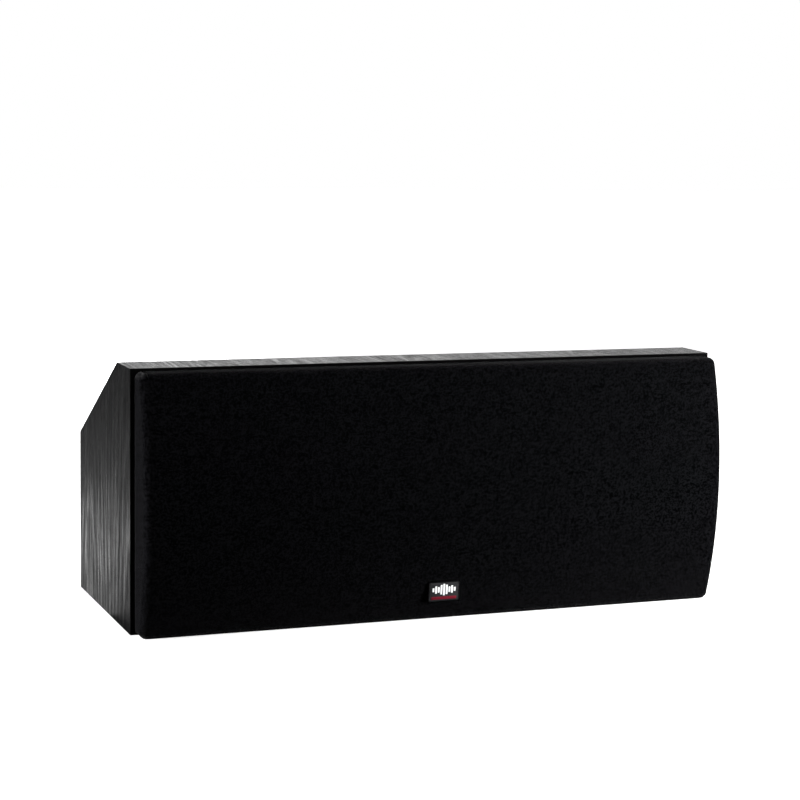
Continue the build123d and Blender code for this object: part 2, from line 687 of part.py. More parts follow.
CUP_SCREW_PLACES = [(x, z) for x in (-CUP_SCREW_X, CUP_SCREW_X) for z in (-CUP_SCREW_Z, CUP_SCREW_Z)]
CUP_FACE = CUP_GASKET + CUP_FLANGE
CUP_FLOOR = CUP_FACE - CUP_DEPTH
CUP_BACK = CUP_FLOOR - CUP_WALL
BOARD_FACE = CUP_BACK - CUP_BOSS
BOARD_BACK = BOARD_FACE - CROSSOVER_BOARD
POST_PLACES = {"red": POST_SPACING / 2, "black": -POST_SPACING / 2}


def flange_outline():
    """The outline shared by the cup's flange and its gasket."""
    return RectangleRounded(CUP_WIDTH + FLANGE_GROWTH, CUP_HEIGHT + FLANGE_GROWTH, CUP_ROUND)


def terminal_cup():
    """A moulded dish with a flange outside the panel and two hollow bosses behind its floor."""
    cup = Pos(0, 0, CUP_GASKET) * extrude(flange_outline(), CUP_FLANGE)
    dish = RectangleRounded(CUP_WIDTH, CUP_HEIGHT, CUP_ROUND)
    cup += Pos(0, 0, CUP_GASKET) * extrude(dish, CUP_BACK - CUP_GASKET)
    mouth = RectangleRounded(CUP_WIDTH - 2 * CUP_WALL, CUP_HEIGHT - 2 * CUP_WALL, CUP_ROUND - CUP_WALL)
    cup -= extrude(Pos(0, 0, CUP_FACE) * mouth, -CUP_DEPTH, taper=CUP_TAPER)
    for x in POST_PLACES.values():
        cup += Pos(x, 0, 0) * disc(POST_BASE_R, BOARD_FACE, CUP_BACK)
        cup -= Pos(x, 0, 0) * disc(POST_R + POST_HOLE_CLEARANCE, BOARD_FACE, CUP_FACE)
    sink = turned((0, CUP_GASKET), (SCREW_R + SCREW_HOLE_CLEARANCE, CUP_GASKET),
                  (SCREW_R + SCREW_HOLE_CLEARANCE, CUP_FACE - SCREW_HEAD),
                  (SCREW_HEAD_R + SCREW_HOLE_CLEARANCE, CUP_FACE), (0, CUP_FACE))
    return cup - [Pos(x, z, 0) * sink for x, z in CUP_SCREW_PLACES]


def terminal_gasket():
    """A foam ring between the flange and the panel."""
    opening = RectangleRounded(CUP_WIDTH + CUP_CLEARANCE, CUP_HEIGHT + CUP_CLEARANCE, CUP_ROUND)
    gasket = extrude(flange_outline() - opening, CUP_GASKET)
    hole = disc(SCREW_R + SCREW_HOLE_CLEARANCE, 0, CUP_GASKET)
    return gasket - [Pos(x, z, 0) * hole for x, z in CUP_SCREW_PLACES]


def binding_post():
    """A turned brass post: base on the cup's floor, bored stem with a wire hole, stud through the board."""
    foot = CUP_FLOOR + POST_BASE
    tip = foot + POST_STEM
    tail = BOARD_BACK - NUT - POST_TAIL
    post = turned((0, tail), (POST_R, tail), (POST_R, CUP_FLOOR), (POST_BASE_R, CUP_FLOOR),
                  (POST_BASE_R, foot), (POST_R, foot), (POST_R, tip), (BANANA_R, tip),
                  (BANANA_R, tip - BANANA_DEPTH), (0, tip - BANANA_DEPTH))
    wire = Pos(0, 0, foot + WIRE_HOLE_HEIGHT) * Rot(90, 0, 0) * disc(WIRE_HOLE_R, -POST_BASE_R, POST_BASE_R)
    return post - wire


def post_knob():
    """A fluted cap that screws down the stem, open at its end for a banana plug."""
    foot = CUP_FLOOR + POST_BASE + KNOB_SEAT
    top = foot + KNOB_LENGTH
    stem = CUP_FLOOR + POST_BASE + POST_STEM + KNOB_SEAT
    bore = POST_R + KNOB_CLEARANCE
    knob = turned((bore, foot), (KNOB_R, foot), (KNOB_R, top - KNOB_BEVEL), (KNOB_R - KNOB_BEVEL, top),
                  (KNOB_MOUTH_R, top), (KNOB_MOUTH_R, stem), (bore, stem))
    return knob - around(FLUTES, KNOB_R + FLUTE_R / 2, disc(FLUTE_R, foot + KNOB_BEVEL, top + OVERCUT))


def post_nut():
    """A hexagon nut that clamps the crossover board to the cup."""
    nut = Pos(0, 0, BOARD_BACK - NUT) * extrude(RegularPolygon(NUT_FLATS / 2, 6, major_radius=False), NUT)
    return nut - disc(POST_R + POST_HOLE_CLEARANCE, BOARD_BACK - NUT, BOARD_BACK)


def crossover_board():
    """The circuit board behind the cup."""
    board = Pos(0, 0, BOARD_BACK) * extrude(Rectangle(CROSSOVER_WIDTH, CROSSOVER_HEIGHT), CROSSOVER_BOARD)
    hole = disc(POST_R + POST_HOLE_CLEARANCE, BOARD_BACK, BOARD_FACE)
    return board - [Pos(x, 0, 0) * hole for x in POST_PLACES.values()]


def choke(radius, height, hole):
    """A coil on a flanged bobbin, standing on the board."""
    top = BOARD_BACK - height
    wound = radius - BOBBIN_PROUD
    low_flange, high_flange = BOARD_BACK - BOBBIN_FLANGE, top + BOBBIN_FLANGE
    return turned((hole, BOARD_BACK), (radius, BOARD_BACK), (radius, low_flange), (wound, low_flange),
                  (wound, high_flange), (radius, high_flange), (radius, top), (hole, top))


def crossover_parts():
    """Chokes, capacitors and a resistor, each near its own edge of the board."""
    right, up = CROSSOVER_WIDTH / 2 - PART_EDGE_GAP, CROSSOVER_HEIGHT / 2 - PART_EDGE_GAP
    can = Rot(0, 90, 0) * extrude(Circle(CAN_R), CAN_LENGTH / 2, both=True)
    film = extrude(RectangleRounded(FILM_LENGTH, FILM_WIDTH, PART_ROUND), -FILM_HEIGHT)
    resistor = extrude(RectangleRounded(RESISTOR_LENGTH, RESISTOR_SIDE, PART_ROUND), -RESISTOR_SIDE)
    big_choke = choke(BIG_COIL_R, BIG_COIL_HEIGHT, BIG_COIL_HOLE_R)
    small_choke = choke(SMALL_COIL_R, SMALL_COIL_HEIGHT, SMALL_COIL_HOLE_R)
    return {
        "low_pass_choke": Pos(-right + BIG_COIL_R, up - BIG_COIL_R, 0) * big_choke,
        "high_pass_choke": Pos(right - SMALL_COIL_R, up - SMALL_COIL_R, 0) * small_choke,
        "low_pass_capacitor": Pos(-right + CAN_LENGTH / 2, -up + CAN_R, BOARD_BACK - CAN_R) * can,
        "high_pass_capacitor": Pos(right - FILM_LENGTH / 2, -up + FILM_WIDTH / 2, BOARD_BACK) * film,
        "tweeter_resistor": Pos(0, up - RESISTOR_SIDE / 2, BOARD_BACK) * resistor,
    }


def terminals():
    """Everything that is carried by the rear panel's opening."""
    shapes = crossover_parts()
    shapes["terminal_cup"] = terminal_cup()
    shapes["terminal_gasket"] = terminal_gasket()
    shapes["crossover_board"] = crossover_board()
    post, knob = binding_post(), post_knob()
    for colour, x in POST_PLACES.items():
        shapes[f"{colour}_post"] = Pos(x, 0, 0) * post
        shapes[f"{colour}_knob"] = Pos(x, 0, 0) * knob
    nodes = {name: facing_rear(shape, 0, TERMINAL_Z) for name, shape in shapes.items()}
    nodes["post_nuts"] = [facing_rear(Pos(x, 0, 0) * post_nut(), 0, TERMINAL_Z) for x in POST_PLACES.values()]
    screws = [Pos(x, z, 0) * flush_screw(CUP_FACE) for x, z in CUP_SCREW_PLACES]
    nodes["terminal_screws"] = [facing_rear(screw, 0, TERMINAL_Z) for screw in screws]
    return nodes


# Solder-tag strips and leads


NECK_SEAT_R = SHELF_INNER_R + STEEL
STRIP_SEAT = sqrt(NECK_SEAT_R ** 2 - (STRIP_WIDTH / 2) ** 2)
STRIP_DEPTH = (SHELF_DEPTH + FRAME_DEPTH) / 2 + STEEL
TWEETER_BACK = TWEETER_YOKE_TOP - TWEETER_PLATE


def tag_strip():
    """A fibre strip on the plane z = 0 with its length along X, and the two solder tags that stand on it."""
    strip = Pos(0, 0, STRIP / 2) * Box(STRIP_WIDTH, STRIP_HEIGHT, STRIP)
    tag = Pos(0, 0, STRIP + TAG_LENGTH / 2) * Box(TAG_WIDTH, TAG, TAG_LENGTH)
    return strip, [Pos(x, 0, 0) * tag for x in (-TAG_SPACING / 2, TAG_SPACING / 2)]


def woofer_terminals(side):
    """A strip hollowed to fit the basket's neck, on the side that faces the tweeter."""
    place = Pos(side * STRIP_SEAT, 0, -STRIP_DEPTH) * Rot(0, side * 90, 0) * Rot(0, 0, 90)
    strip, tags = tag_strip()
    pieces = [place * strip - disc(NECK_SEAT_R, -FRAME_DEPTH, -SHELF_DEPTH)]
    pieces += [place * tag for tag in tags]
    return [facing_front(piece, -side * WOOFER_X, AXIS_Z) for piece in pieces]


def tweeter_terminals():
    """A strip flat on the back of the tweeter's yoke."""
    place = Pos(0, 0, TWEETER_BACK) * Rot(180, 0, 0)
    strip, tags = tag_strip()
    return [facing_front(place * piece, 0, AXIS_Z) for piece in [strip] + tags]


def lead(start, outward, side):
    """A two-core lead: straight off its strip, through a slack bend, and straight into the board."""
    pad = Vector(-side * LEAD_PAD_X, REAR + BOARD_BACK, TERMINAL_Z + LEAD_PAD_Z)
    before_pad = pad - Vector(0, LEAD_RUN_IN, 0)
    slack = before_pad + Vector(-side * LEAD_SLACK_X, -LEAD_SLACK_Y, (start.Z - pad.Z) / 2)
    points = [start, start + outward * LEAD_RUN_OUT, slack, before_pad, pad]
    radii = []
    for a, b, c in zip(points, points[1:], points[2:]):
        shorter = min((b - a).length, (c - b).length)
        radii.append(LEAD_BEND_SHARE * shorter / tan(radians((b - a).get_angle(c - b)) / 2))
    route = FilletPolyline(*points, radius=radii)
    return sweep(Plane(origin=start, z_dir=outward) * Circle(LEAD_R), route)


def leads():
    """The strips of the three drivers, and a lead from the board to each."""
    nodes = {"tweeter_terminals": tweeter_terminals()}
    nodes["tweeter_lead"] = lead(Vector(0, FRONT - TWEETER_BACK + STRIP, AXIS_Z), Vector(0, 1, 0), 0)
    for name, side in (("left", 1), ("right", -1)):
        start = Vector(side * (STRIP_SEAT + STRIP - WOOFER_X), FRONT + STRIP_DEPTH, AXIS_Z)
        nodes[f"{name}_woofer_terminals"] = woofer_terminals(side)
        nodes[f"{name}_woofer_lead"] = lead(start, Vector(side, 0, 0), side)
    return nodes


def speaker():
    """Every piece of the speaker by name."""
    nodes = cabinet_panels()
    nodes["rear_panel"] -= facing_rear(cup_cutout(), 0, TERMINAL_Z)
    nodes["front_baffle"] = front_baffle()
    nodes["damping_wadding"] = damping_wadding()
    nodes["grille_frame"] = grille_frame()
    nodes["grille_cloth"] = grille_cloth()
    nodes["grille_badge"] = grille_badge()
    nodes["grille_sockets"] = grille_sockets()
    nodes.update(woofers())
    nodes.update(tweeter())
    nodes.update(terminals())
    nodes.update(leads())
    return nodes


os.makedirs("parts", exist_ok=True)
for name, shape in speaker().items():
    pieces = shape if isinstance(shape, list) else [shape]
    solids = [solid for piece in pieces for solid in piece.solids()]
    export_step(solids[0] if len(solids) == 1 else Compound(solids), f"parts/{name}.step")
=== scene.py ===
import math

import bmesh
import bpy
import numpy as np
from mathutils import Matrix, Vector


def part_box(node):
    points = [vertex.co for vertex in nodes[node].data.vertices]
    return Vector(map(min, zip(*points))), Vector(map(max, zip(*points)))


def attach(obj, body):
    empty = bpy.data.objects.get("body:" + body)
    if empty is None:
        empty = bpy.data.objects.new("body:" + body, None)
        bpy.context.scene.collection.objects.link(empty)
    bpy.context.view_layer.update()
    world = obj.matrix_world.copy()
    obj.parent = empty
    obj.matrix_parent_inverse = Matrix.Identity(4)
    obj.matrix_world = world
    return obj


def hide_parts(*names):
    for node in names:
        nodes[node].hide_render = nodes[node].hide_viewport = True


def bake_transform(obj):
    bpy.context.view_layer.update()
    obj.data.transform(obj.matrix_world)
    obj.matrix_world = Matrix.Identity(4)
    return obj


# A low, wide centre loudspeaker for a home cinema, in metres. +X is the listener's right, -Y is the front
# and +Z is up. Each section is one piece, or one group of like pieces, in the order in which they go
# together.
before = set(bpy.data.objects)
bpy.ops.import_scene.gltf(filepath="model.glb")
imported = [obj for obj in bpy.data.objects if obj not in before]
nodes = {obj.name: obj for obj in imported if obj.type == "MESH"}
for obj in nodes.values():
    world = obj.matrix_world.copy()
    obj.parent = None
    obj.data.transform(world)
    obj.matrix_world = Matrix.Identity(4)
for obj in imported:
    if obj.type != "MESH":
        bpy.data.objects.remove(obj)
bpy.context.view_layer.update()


# Cabinet panels: particle board wrapped in black-ash vinyl and folded at mitred corners. The print is
# embossed, with open pores in bands. Its grain stands upright on the ends, and runs round the body over
# bottom, rear, slope and top.


def node_group(name, place, values, outputs):
    """An empty shader group with one vector input, number inputs and number outputs. Gives the group, the
    sockets that bring in what it is given, and the sockets that take what it puts out."""
    group = bpy.data.node_groups.new(name, "ShaderNodeTree")
    group.interface.new_socket(place, in_out="INPUT", socket_type="NodeSocketVector")
    for socket, value in values.items():
        made = group.interface.new_socket(socket, in_out="INPUT", socket_type="NodeSocketFloat")
        made.default_value = value
    for socket in outputs:
        group.interface.new_socket(socket, in_out="OUTPUT", socket_type="NodeSocketFloat")
    given = group.nodes.new("NodeGroupInput")
    taken = group.nodes.new("NodeGroupOutput")
    return group, given.outputs, taken.inputs


def put(tree, value, socket):
    """Links an output to a socket, or sets a plain value on it."""
    if isinstance(value, bpy.types.NodeSocket):
        tree.links.new(value, socket)
    else:
        socket.default_value = value


def math_node(tree, operation, a, b=0.0):
    """One Math node; a and b are outputs or numbers."""
    node = tree.nodes.new("ShaderNodeMath")
    node.operation = operation
    put(tree, a, node.inputs[0])
    put(tree, b, node.inputs[1])
    return node.outputs[0]


def plus(tree, a, b):
    """The sum of two outputs or numbers."""
    return math_node(tree, "ADD", a, b)


def times(tree, a, b):
    """The product of two outputs or numbers."""
    return math_node(tree, "MULTIPLY", a, b)


def root_of_squares(tree, a, b):
    """The root of a squared plus b squared."""
    squares = [math_node(tree, "POWER", side, 2.0) for side in (a, b)]
    return math_node(tree, "SQRT", plus(tree, *squares))


def axes(tree, place):
    """The X, Y and Z of a place."""
    node = tree.nodes.new("ShaderNodeSeparateXYZ")
    tree.links.new(place, node.inputs[0])
    return node.outputs


def ramp(tree, value, low, high, to_low=0.0, to_high=1.0):
    """A smooth step of value from low to high, mapped to to_low and to_high."""
    node = tree.nodes.new("ShaderNodeMapRange")
    node.interpolation_type = "SMOOTHSTEP"
    sources = {"Value": value, "From Min": low, "From Max": high, "To Min": to_low, "To Max": to_high}
    for socket, source in sources.items():
        put(tree, source, node.inputs[socket])
    return node.outputs["Result"]


def noise(tree, place, scale, detail, roughness):
    """A Noise texture's value at a place."""
    node = tree.nodes.new("ShaderNodeTexNoise")
    sources = {"Vector": place, "Scale": scale, "Detail": detail, "Roughness": roughness}
    for socket, source in sources.items():
        put(tree, source, node.inputs[socket])
    return node.outputs["Fac"]


def drawn_noise(tree, place, waves, detail, roughness):
    """A noise drawn out along an axis: waves are its counts per metre along X, Y and Z."""
    node = tree.nodes.new("ShaderNodeVectorMath")
    node.operation = "MULTIPLY"
    put(tree, place, node.inputs[0])
    put(tree, waves, node.inputs[1])
    return noise(tree, node.outputs[0], 1.0, detail, roughness)


def from_noise(tree, value, to_low=0.0, to_high=1.0):
    """A smooth step over a noise's usual reach, 0.3 to 0.7, mapped to to_low and to_high."""
    return ramp(tree, value, 0.3, 0.7, to_low, to_high)


def grey(value, blue=0.0):
    """A neutral colour, with a trace more blue where that is given."""
    return value, value, value + blue


def mixed(tree, share, first, second):
    """A colour between two, each an output or a plain colour. A Mix node takes its colours at sockets 6 and
    7, and gives theirs at output 2."""
    node = tree.nodes.new("ShaderNodeMix")
    node.data_type = "RGBA"
    put(tree, share, node.inputs[0])
    for colour, socket in ((first, node.inputs[6]), (second, node.inputs[7])):
        put(tree, (*colour, 1.0) if isinstance(colour, tuple) else colour, socket)
    return node.outputs[2]


def finish(name, **constants):
    """A new node material, with constants set on its Principled shader's own sockets. Gives the material,
    its tree and its shader."""
    material = bpy.data.materials.new(name)
    material.use_nodes = True
    shader = material.node_tree.nodes["Principled BSDF"]
    for socket, value in constants.items():
        shader.inputs[socket.replace("_", " ")].default_value = value
    return material, material.node_tree, shader


def feed(tree, shader, **sources):
    """Links outputs that change over the surface to the shader's sockets."""
    for socket, source in sources.items():
        tree.links.new(source, shader.inputs[socket.replace("_", " ")])


def object_place(tree, turn=0.0, shift=(0.0, 0.0, 0.0)):
    """Object coordinates, turned about X and then shifted, so that a pattern lies along the piece."""
    where = tree.nodes.new("ShaderNodeTexCoord")
    mapping = tree.nodes.new("ShaderNodeMapping")
    mapping.inputs["Rotation"].default_value = (turn, 0.0, 0.0)
    mapping.inputs["Location"].default_value = shift
    tree.links.new(where.outputs["Object"], mapping.inputs["Vector"])
    return mapping.outputs["Vector"]


def group_node(tree, group, **sources):
    """A shader group placed in a material with its own values."""
    node = tree.nodes.new("ShaderNodeGroup")
    node.node_tree = group
    for socket, source in sources.items():
        put(tree, source, node.inputs[socket])
    return node.outputs


def bump(tree, shader, height, depth, strength=1.0):
    """A Bump node of that depth in metres on the shader's normal."""
    node = tree.nodes.new("ShaderNodeBump")
    for socket, source in {"Strength": strength, "Distance": depth, "Height": height}.items():
        put(tree, source, node.inputs[socket])
    feed(tree, shader, Normal=node.outputs["Normal"])


def dress(material, *names):
    """Gives CAD nodes a material in place of their own."""
    for name in names:
        nodes[name].data.materials.clear()
        nodes[name].data.materials.append(material)


def ash_grain_group():
    """Ash sawn along Z. The rings are cones, so a ring's radius at the surface is the root of two squares:
    the way across from the nearest heart line, and a depth that slowly grows. It gives arches along the
    heart line and straight lines beside it. Band is the open early wood of each ring, Pores are short
    dashes that are densest in it, Streak is the fine fibre and Tone drifts slowly."""
    tree, given, taken = node_group(
        "ash_grain", "Place", {"Ring": 0.0045}, ("Band", "Pores", "Streak", "Tone"))
    drift_waves, drift_width = (7.0, 7.0, 2.4), 0.09
    heart_gap, heart_depth, deepening = 0.075, 0.036, 0.10
    uneven_waves, unevenness = (300.0, 300.0, 12.0), 1.1
    pore_waves, pores_outside = (1500.0, 1500.0, 52.0), 0.25
    fibre_waves, tone_waves = (230.0, 230.0, 4.0), (60.0, 60.0, 6.0)
    place = given["Place"]
    x, y, z = axes(tree, place)
    drift = math_node(tree, "SUBTRACT", drawn_noise(tree, place, drift_waves, 2.0, 0.5), 0.5)
    across = plus(tree, plus(tree, x, y), times(tree, drift, drift_width))
    aside = math_node(tree, "PINGPONG", across, heart_gap)
    depth = plus(tree, times(tree, z, deepening), heart_depth)
    rings = math_node(tree, "DIVIDE", root_of_squares(tree, aside, depth), given["Ring"])
    uneven = times(tree, drawn_noise(tree, place, uneven_waves, 3.0, 0.6), unevenness)
    saw = math_node(tree, "FRACT", plus(tree, rings, uneven))
    band = times(tree, ramp(tree, saw, 0.06, 0.50), ramp(tree, saw, 1.0, 0.84))
    dashes = ramp(tree, drawn_noise(tree, place, pore_waves, 2.0, 0.6), 0.50, 0.64)
    within = plus(tree, times(tree, band, 1 - pores_outside), pores_outside)
    put(tree, band, taken["Band"])
    put(tree, times(tree, dashes, within), taken["Pores"])
    put(tree, ramp(tree, drawn_noise(tree, place, fibre_waves, 4.0, 0.7), 0.40, 0.60), taken["Streak"])
    put(tree, drawn_noise(tree, place, tone_waves, 3.0, 0.55), taken["Tone"])
    return tree


ash_grain = ash_grain_group()
GRAIN_DEPTH = 0.0006
GRAIN_MARKS = (
    {"mark": "Streak", "colour": grey(0.0009, 0.0001), "dulls": 0.26, "sinks": 0.80},
    {"mark": "Band", "colour": grey(0.0006, 0.0001), "dulls": 0.16, "sinks": 0.55},
    {"mark": "Pores", "colour": grey(0.0003), "dulls": 0.30, "sinks": 1.00},
)


def black_ash(name, turn=0.0, shift=(0.0, 0.0, 0.0), ring=0.0048, relief=1.0):
    """Black vinyl with ash grain: each mark is darker, duller and deeper than the smooth wood between the
    marks, by its own share of the relief."""
    material, tree, shader = finish(name, Specular_IOR_Level=0.5)
    grain = group_node(tree, ash_grain, Place=object_place(tree, turn, shift), Ring=ring)
    colour = mixed(tree, from_noise(tree, grain["Tone"]), grey(0.0020, 0.0001), grey(0.0034, 0.0002))
    rough = from_noise(tree, grain["Tone"], 0.16, 0.22)
    height = 0.0
    for row in GRAIN_MARKS:
        mark = grain[row["mark"]]
        colour = mixed(tree, mark, colour, row["colour"])
        rough = plus(tree, rough, times(tree, mark, row["dulls"] * relief))
        height = math_node(tree, "SUBTRACT", height, times(tree, mark, row["sinks"]))
    feed(tree, shader, Base_Color=colour, Roughness=rough)
    bump(tree, shader, height, GRAIN_DEPTH * relief)
    return material


top_low, top_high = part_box("top_panel")
slope_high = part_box("sloped_rear_panel")[1]
rear_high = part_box("rear_panel")[1]
slope_angle = math.atan2(top_high.z - rear_high.z, slope_high.y - top_high.y)
lying = math.pi / 2
dress(black_ash("black_ash_ends", shift=(0.0, 0.010, 0.0), ring=0.0080), "left_end_panel", "right_end_panel")
dress(black_ash("black_ash_rear", shift=(0.02, 0.0, 0.0)), "rear_panel")
dress(black_ash("black_ash_flat", lying, (0.05, 0.0, 0.0), 0.0036, relief=0.5), "top_panel", "bottom_panel")
dress(black_ash("black_ash_slope", lying + slope_angle), "sloped_rear_panel")


# Front baffle and edges: a board behind the grille with cut-outs for the drivers, glued between the panels.
# It and the bare front edges of the panels are painted matt black with a short-pile roller, which leaves a
# stipple. The edges are darker than the baffle: that extra dark is painted shade for the gap behind the
# grille.
EDGE_DEPTH = 0.0001


def roller_paint(name, dark, light, gloss):
    """Matt black paint with a fine stipple, in patches of two close tones."""
    material, tree, shader = finish(name, Specular_IOR_Level=gloss)
    place = object_place(tree)
    stipple = noise(tree, place, scale=900.0, detail=3.0, roughness=0.6)
    patches = noise(tree, place, scale=22.0, detail=3.0, roughness=0.55)
    feed(tree, shader, Base_Color=mixed(tree, patches, dark, light),
         Roughness=from_noise(tree, stipple, 0.65, 0.85))
    bump(tree, shader, stipple, depth=0.00012, strength=0.6)
    return material


def paint_front_edge(material, *names):
    """Gives a second material to the faces of each panel whose middle lies on its front edge."""
    for name in names:
        mesh = nodes[name].data
        mesh.materials.append(material)
        middle = np.empty(3 * len(mesh.polygons), dtype=np.float32)
        mesh.polygons.foreach_get("center", middle)
        at_front = middle.reshape(-1, 3)[:, 1] < top_low.y + EDGE_DEPTH
        mesh.polygons.foreach_set("material_index", at_front.astype(np.int32))


dress(roller_paint("baffle_paint", grey(0.005), grey(0.009, 0.0005), gloss=0.25), "front_baffle")
# Black paint on the front edges, darker than the baffle's, as painted shade in the gap behind the grille.
paint_front_edge(roller_paint("edge_paint_and_gap_shade", grey(0.0012), grey(0.0024, 0.0001), gloss=0.05),
                 "left_end_panel", "right_end_panel", "top_panel", "bottom_panel")


# Wadding: a loose slab of polyester fibre, glued along the middle of the sloped panel's inner face. It is
# fluffy, so its free side swells into soft uneven pillows, and its edges are thin and rounded.
WADDING = 0.020
WADDING_LENGTH = 0.095
PILLOW = 0.0035
LUMP = 0.0012


def grid_faces(points, closed_u, closed_v):
    """Corner indices of each face of a grid of points (rows, columns, 3), turned outwards by the sign of
    the volume that they enclose: the sum of the box products of each face's corners about the grid's
    middle."""
    rows, columns = points.shape[:2]
    index = np.arange(rows * columns).reshape(rows, columns)
    if closed_u:
        index = np.concatenate([index, index[:, :1]], axis=1)
    if closed_v:
        index = np.concatenate([index, index[:1]], axis=0)
    corners = [index[:-1, :-1], index[:-1, 1:], index[1:, 1:], index[1:, :-1]]
    faces = np.stack(corners, axis=-1).reshape(-1, 4)
    centred = points.reshape(-1, 3) - points.reshape(-1, 3).mean(axis=0)
    a, b, c, d = (centred[faces[:, k]] for k in range(4))
    outwards = np.sum(a * np.cross(b, c)) + np.sum(a * np.cross(c, d)) > 0
    return faces if outwards else faces[:, ::-1]


def grid_mesh(name, patches, material, closed_u=False, closed_v=False):
    """One object from patches, each a grid of points and a grid of their UVs. closed_u joins a grid's last
    column to its first, closed_v its last row to its first. Rows that shrink to a point are welded."""
    faces, first = [], 0
    for points, uv in patches:
        faces.append(grid_faces(points, closed_u, closed_v) + first)
        first += points.shape[0] * points.shape[1]
    flat = np.concatenate([points.reshape(-1, 3) for points, uv in patches])
    flat_uv = np.concatenate([uv.reshape(-1, 2) for points, uv in patches]).astype(np.float32)
    mesh = bpy.data.meshes.new(name)
    mesh.from_pydata(flat.tolist(), [], np.concatenate(faces).tolist())
    corner = np.empty(len(mesh.loops), dtype=np.int32)
    mesh.loops.foreach_get("vertex_index", corner)
    mesh.uv_layers.new(name="UVMap").data.foreach_set("uv", flat_uv[corner].ravel())
    shell = bmesh.new()
    shell.from_mesh(mesh)
    bmesh.ops.remove_doubles(shell, verts=shell.verts, dist=1e-6)
    shell.to_mesh(mesh)
    shell.free()
    mesh.shade_smooth()
    mesh.materials.append(material)
    made = bpy.data.objects.new(name, mesh)
    bpy.context.scene.collection.objects.link(made)
    return made


def wadding_slab():
    """The slab on the sloped panel's inner face. Across and along run from -1 to 1. Its height is the
    thickness, less a pillow pattern of crossed cosines and less uneven lumps of crossed sines, times a
    rounded edge both ways. The rows go over the free side and back under it along the glued face."""
    low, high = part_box("damping_wadding")
    width = high.x - low.x
    along = np.array([0.0, -math.cos(slope_angle), math.sin(slope_angle)])
    inward = np.array([0.0, -math.sin(slope_angle), -math.cos(slope_angle)])
    u, v = np.meshgrid(np.linspace(-1, 1, 161), np.linspace(-1, 1, 49))
    rim = (1 - u ** 24) ** 0.5 * (1 - v ** 10) ** 0.5
    pillows = np.cos(u * math.pi * 6) * np.cos(v * math.pi * 1.5)
    lumps = np.sin(31 * u + 3 * v) * np.sin(7 * v + 5 * u) + 0.6 * np.sin(53 * u - 6 * v + 1) * np.sin(11 * v)
    height = rim * (WADDING - PILLOW * (1 - pillows) / 2 - LUMP * (1 - lumps / 2))
    height = np.clip(height, 0, WADDING)
    plan = u[..., None] * np.array([width / 2, 0, 0]) + v[..., None] * along * WADDING_LENGTH / 2
    glued = np.array((low + high) / 2) - inward * WADDING / 2 + plan
    free = glued + height[..., None] * inward
    uv = np.stack([u * width / 2, v * WADDING_LENGTH / 2], axis=-1)
    return np.concatenate([free, glued[::-1]]), np.concatenate([uv, uv[::-1]])


fluff, tree, shader = finish(
    "fluff", Roughness=1.0, Specular_IOR_Level=0.1, Sheen_Weight=0.4, Sheen_Roughness=0.6)
strands = drawn_noise(tree, object_place(tree), (900.0, 240.0, 240.0), detail=4.0, roughness=0.7)
feed(tree, shader, Base_Color=mixed(tree, strands, (0.52, 0.51, 0.48), (0.80, 0.79, 0.76)))
bump(tree, shader, strands, depth=0.0012, strength=0.7)
wadding = grid_mesh("wadding_slab", [wadding_slab()], fluff, closed_v=True)
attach(wadding, "cabinet")
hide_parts("damping_wadding")


# Grille sockets and frame: soft rubber cups pressed into the baffle, and a black moulded frame with three
# windows that plugs into them. The frame comes from a finely spark-eroded tool, so it is matt with an even
# grain.


def moulded_group():
    """The spark-eroded skin of a moulding: fine even pits, and a very faint flow cloud in the tone."""
    tree, given, taken = node_group("moulded_skin", "Place", {"Pits": 2200.0}, ("Height", "Cloud"))
    put(tree, noise(tree, given["Place"], given["Pits"], detail=2.0, roughness=0.5), taken["Height"])
    put(tree, noise(tree, given["Place"], scale=35.0, detail=3.0, roughness=0.5), taken["Cloud"])
    return tree


moulded_skin = moulded_group()


def moulded(name, dark, light, rough, pits=2200.0, depth=0.00005, gloss=0.5):
    """A moulded or painted skin between two close tones, with its gloss broken by the pits."""
    material, tree, shader = finish(name, Specular_IOR_Level=gloss)
    skin = group_node(tree, moulded_skin, Place=object_place(tree), Pits=pits)
    feed(tree, shader, Base_Color=mixed(tree, from_noise(tree, skin["Cloud"]), dark, light),
         Roughness=from_noise(tree, skin["Height"], rough - 0.06, rough + 0.08))
    bump(tree, shader, skin["Height"], depth, strength=0.6)
    return material


dress(moulded("soft_rubber", grey(0.012), grey(0.020), rough=0.72, pits=1400.0), "grille_sockets")
dress(moulded("grille_moulding", grey(0.011), grey(0.017), rough=0.58), "grille_frame")


# Grille cloth: black knitted polyester, stretched over the moulded frame and glued behind its rim. It
# follows the frame's bow, its softly rounded edges and its corners, and shows as one smooth skin with a
# fine knit.
cloth_low, cloth_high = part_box("grille_cloth")
BOW = 0.015
EDGE_ROUND = 0.0055
HEM = 0.003
KNIT_PITCH = 0.0009
ROW_STEP = 0.866
BOW_RADIUS = ((cloth_high.z - cloth_low.z) ** 2 / 4 + BOW ** 2) / (2 * BOW)
BOW_CENTRE_Y = cloth_low.y + BOW_RADIUS
GRILLE_MIDDLE_Z = (cloth_low.z + cloth_high.z) / 2


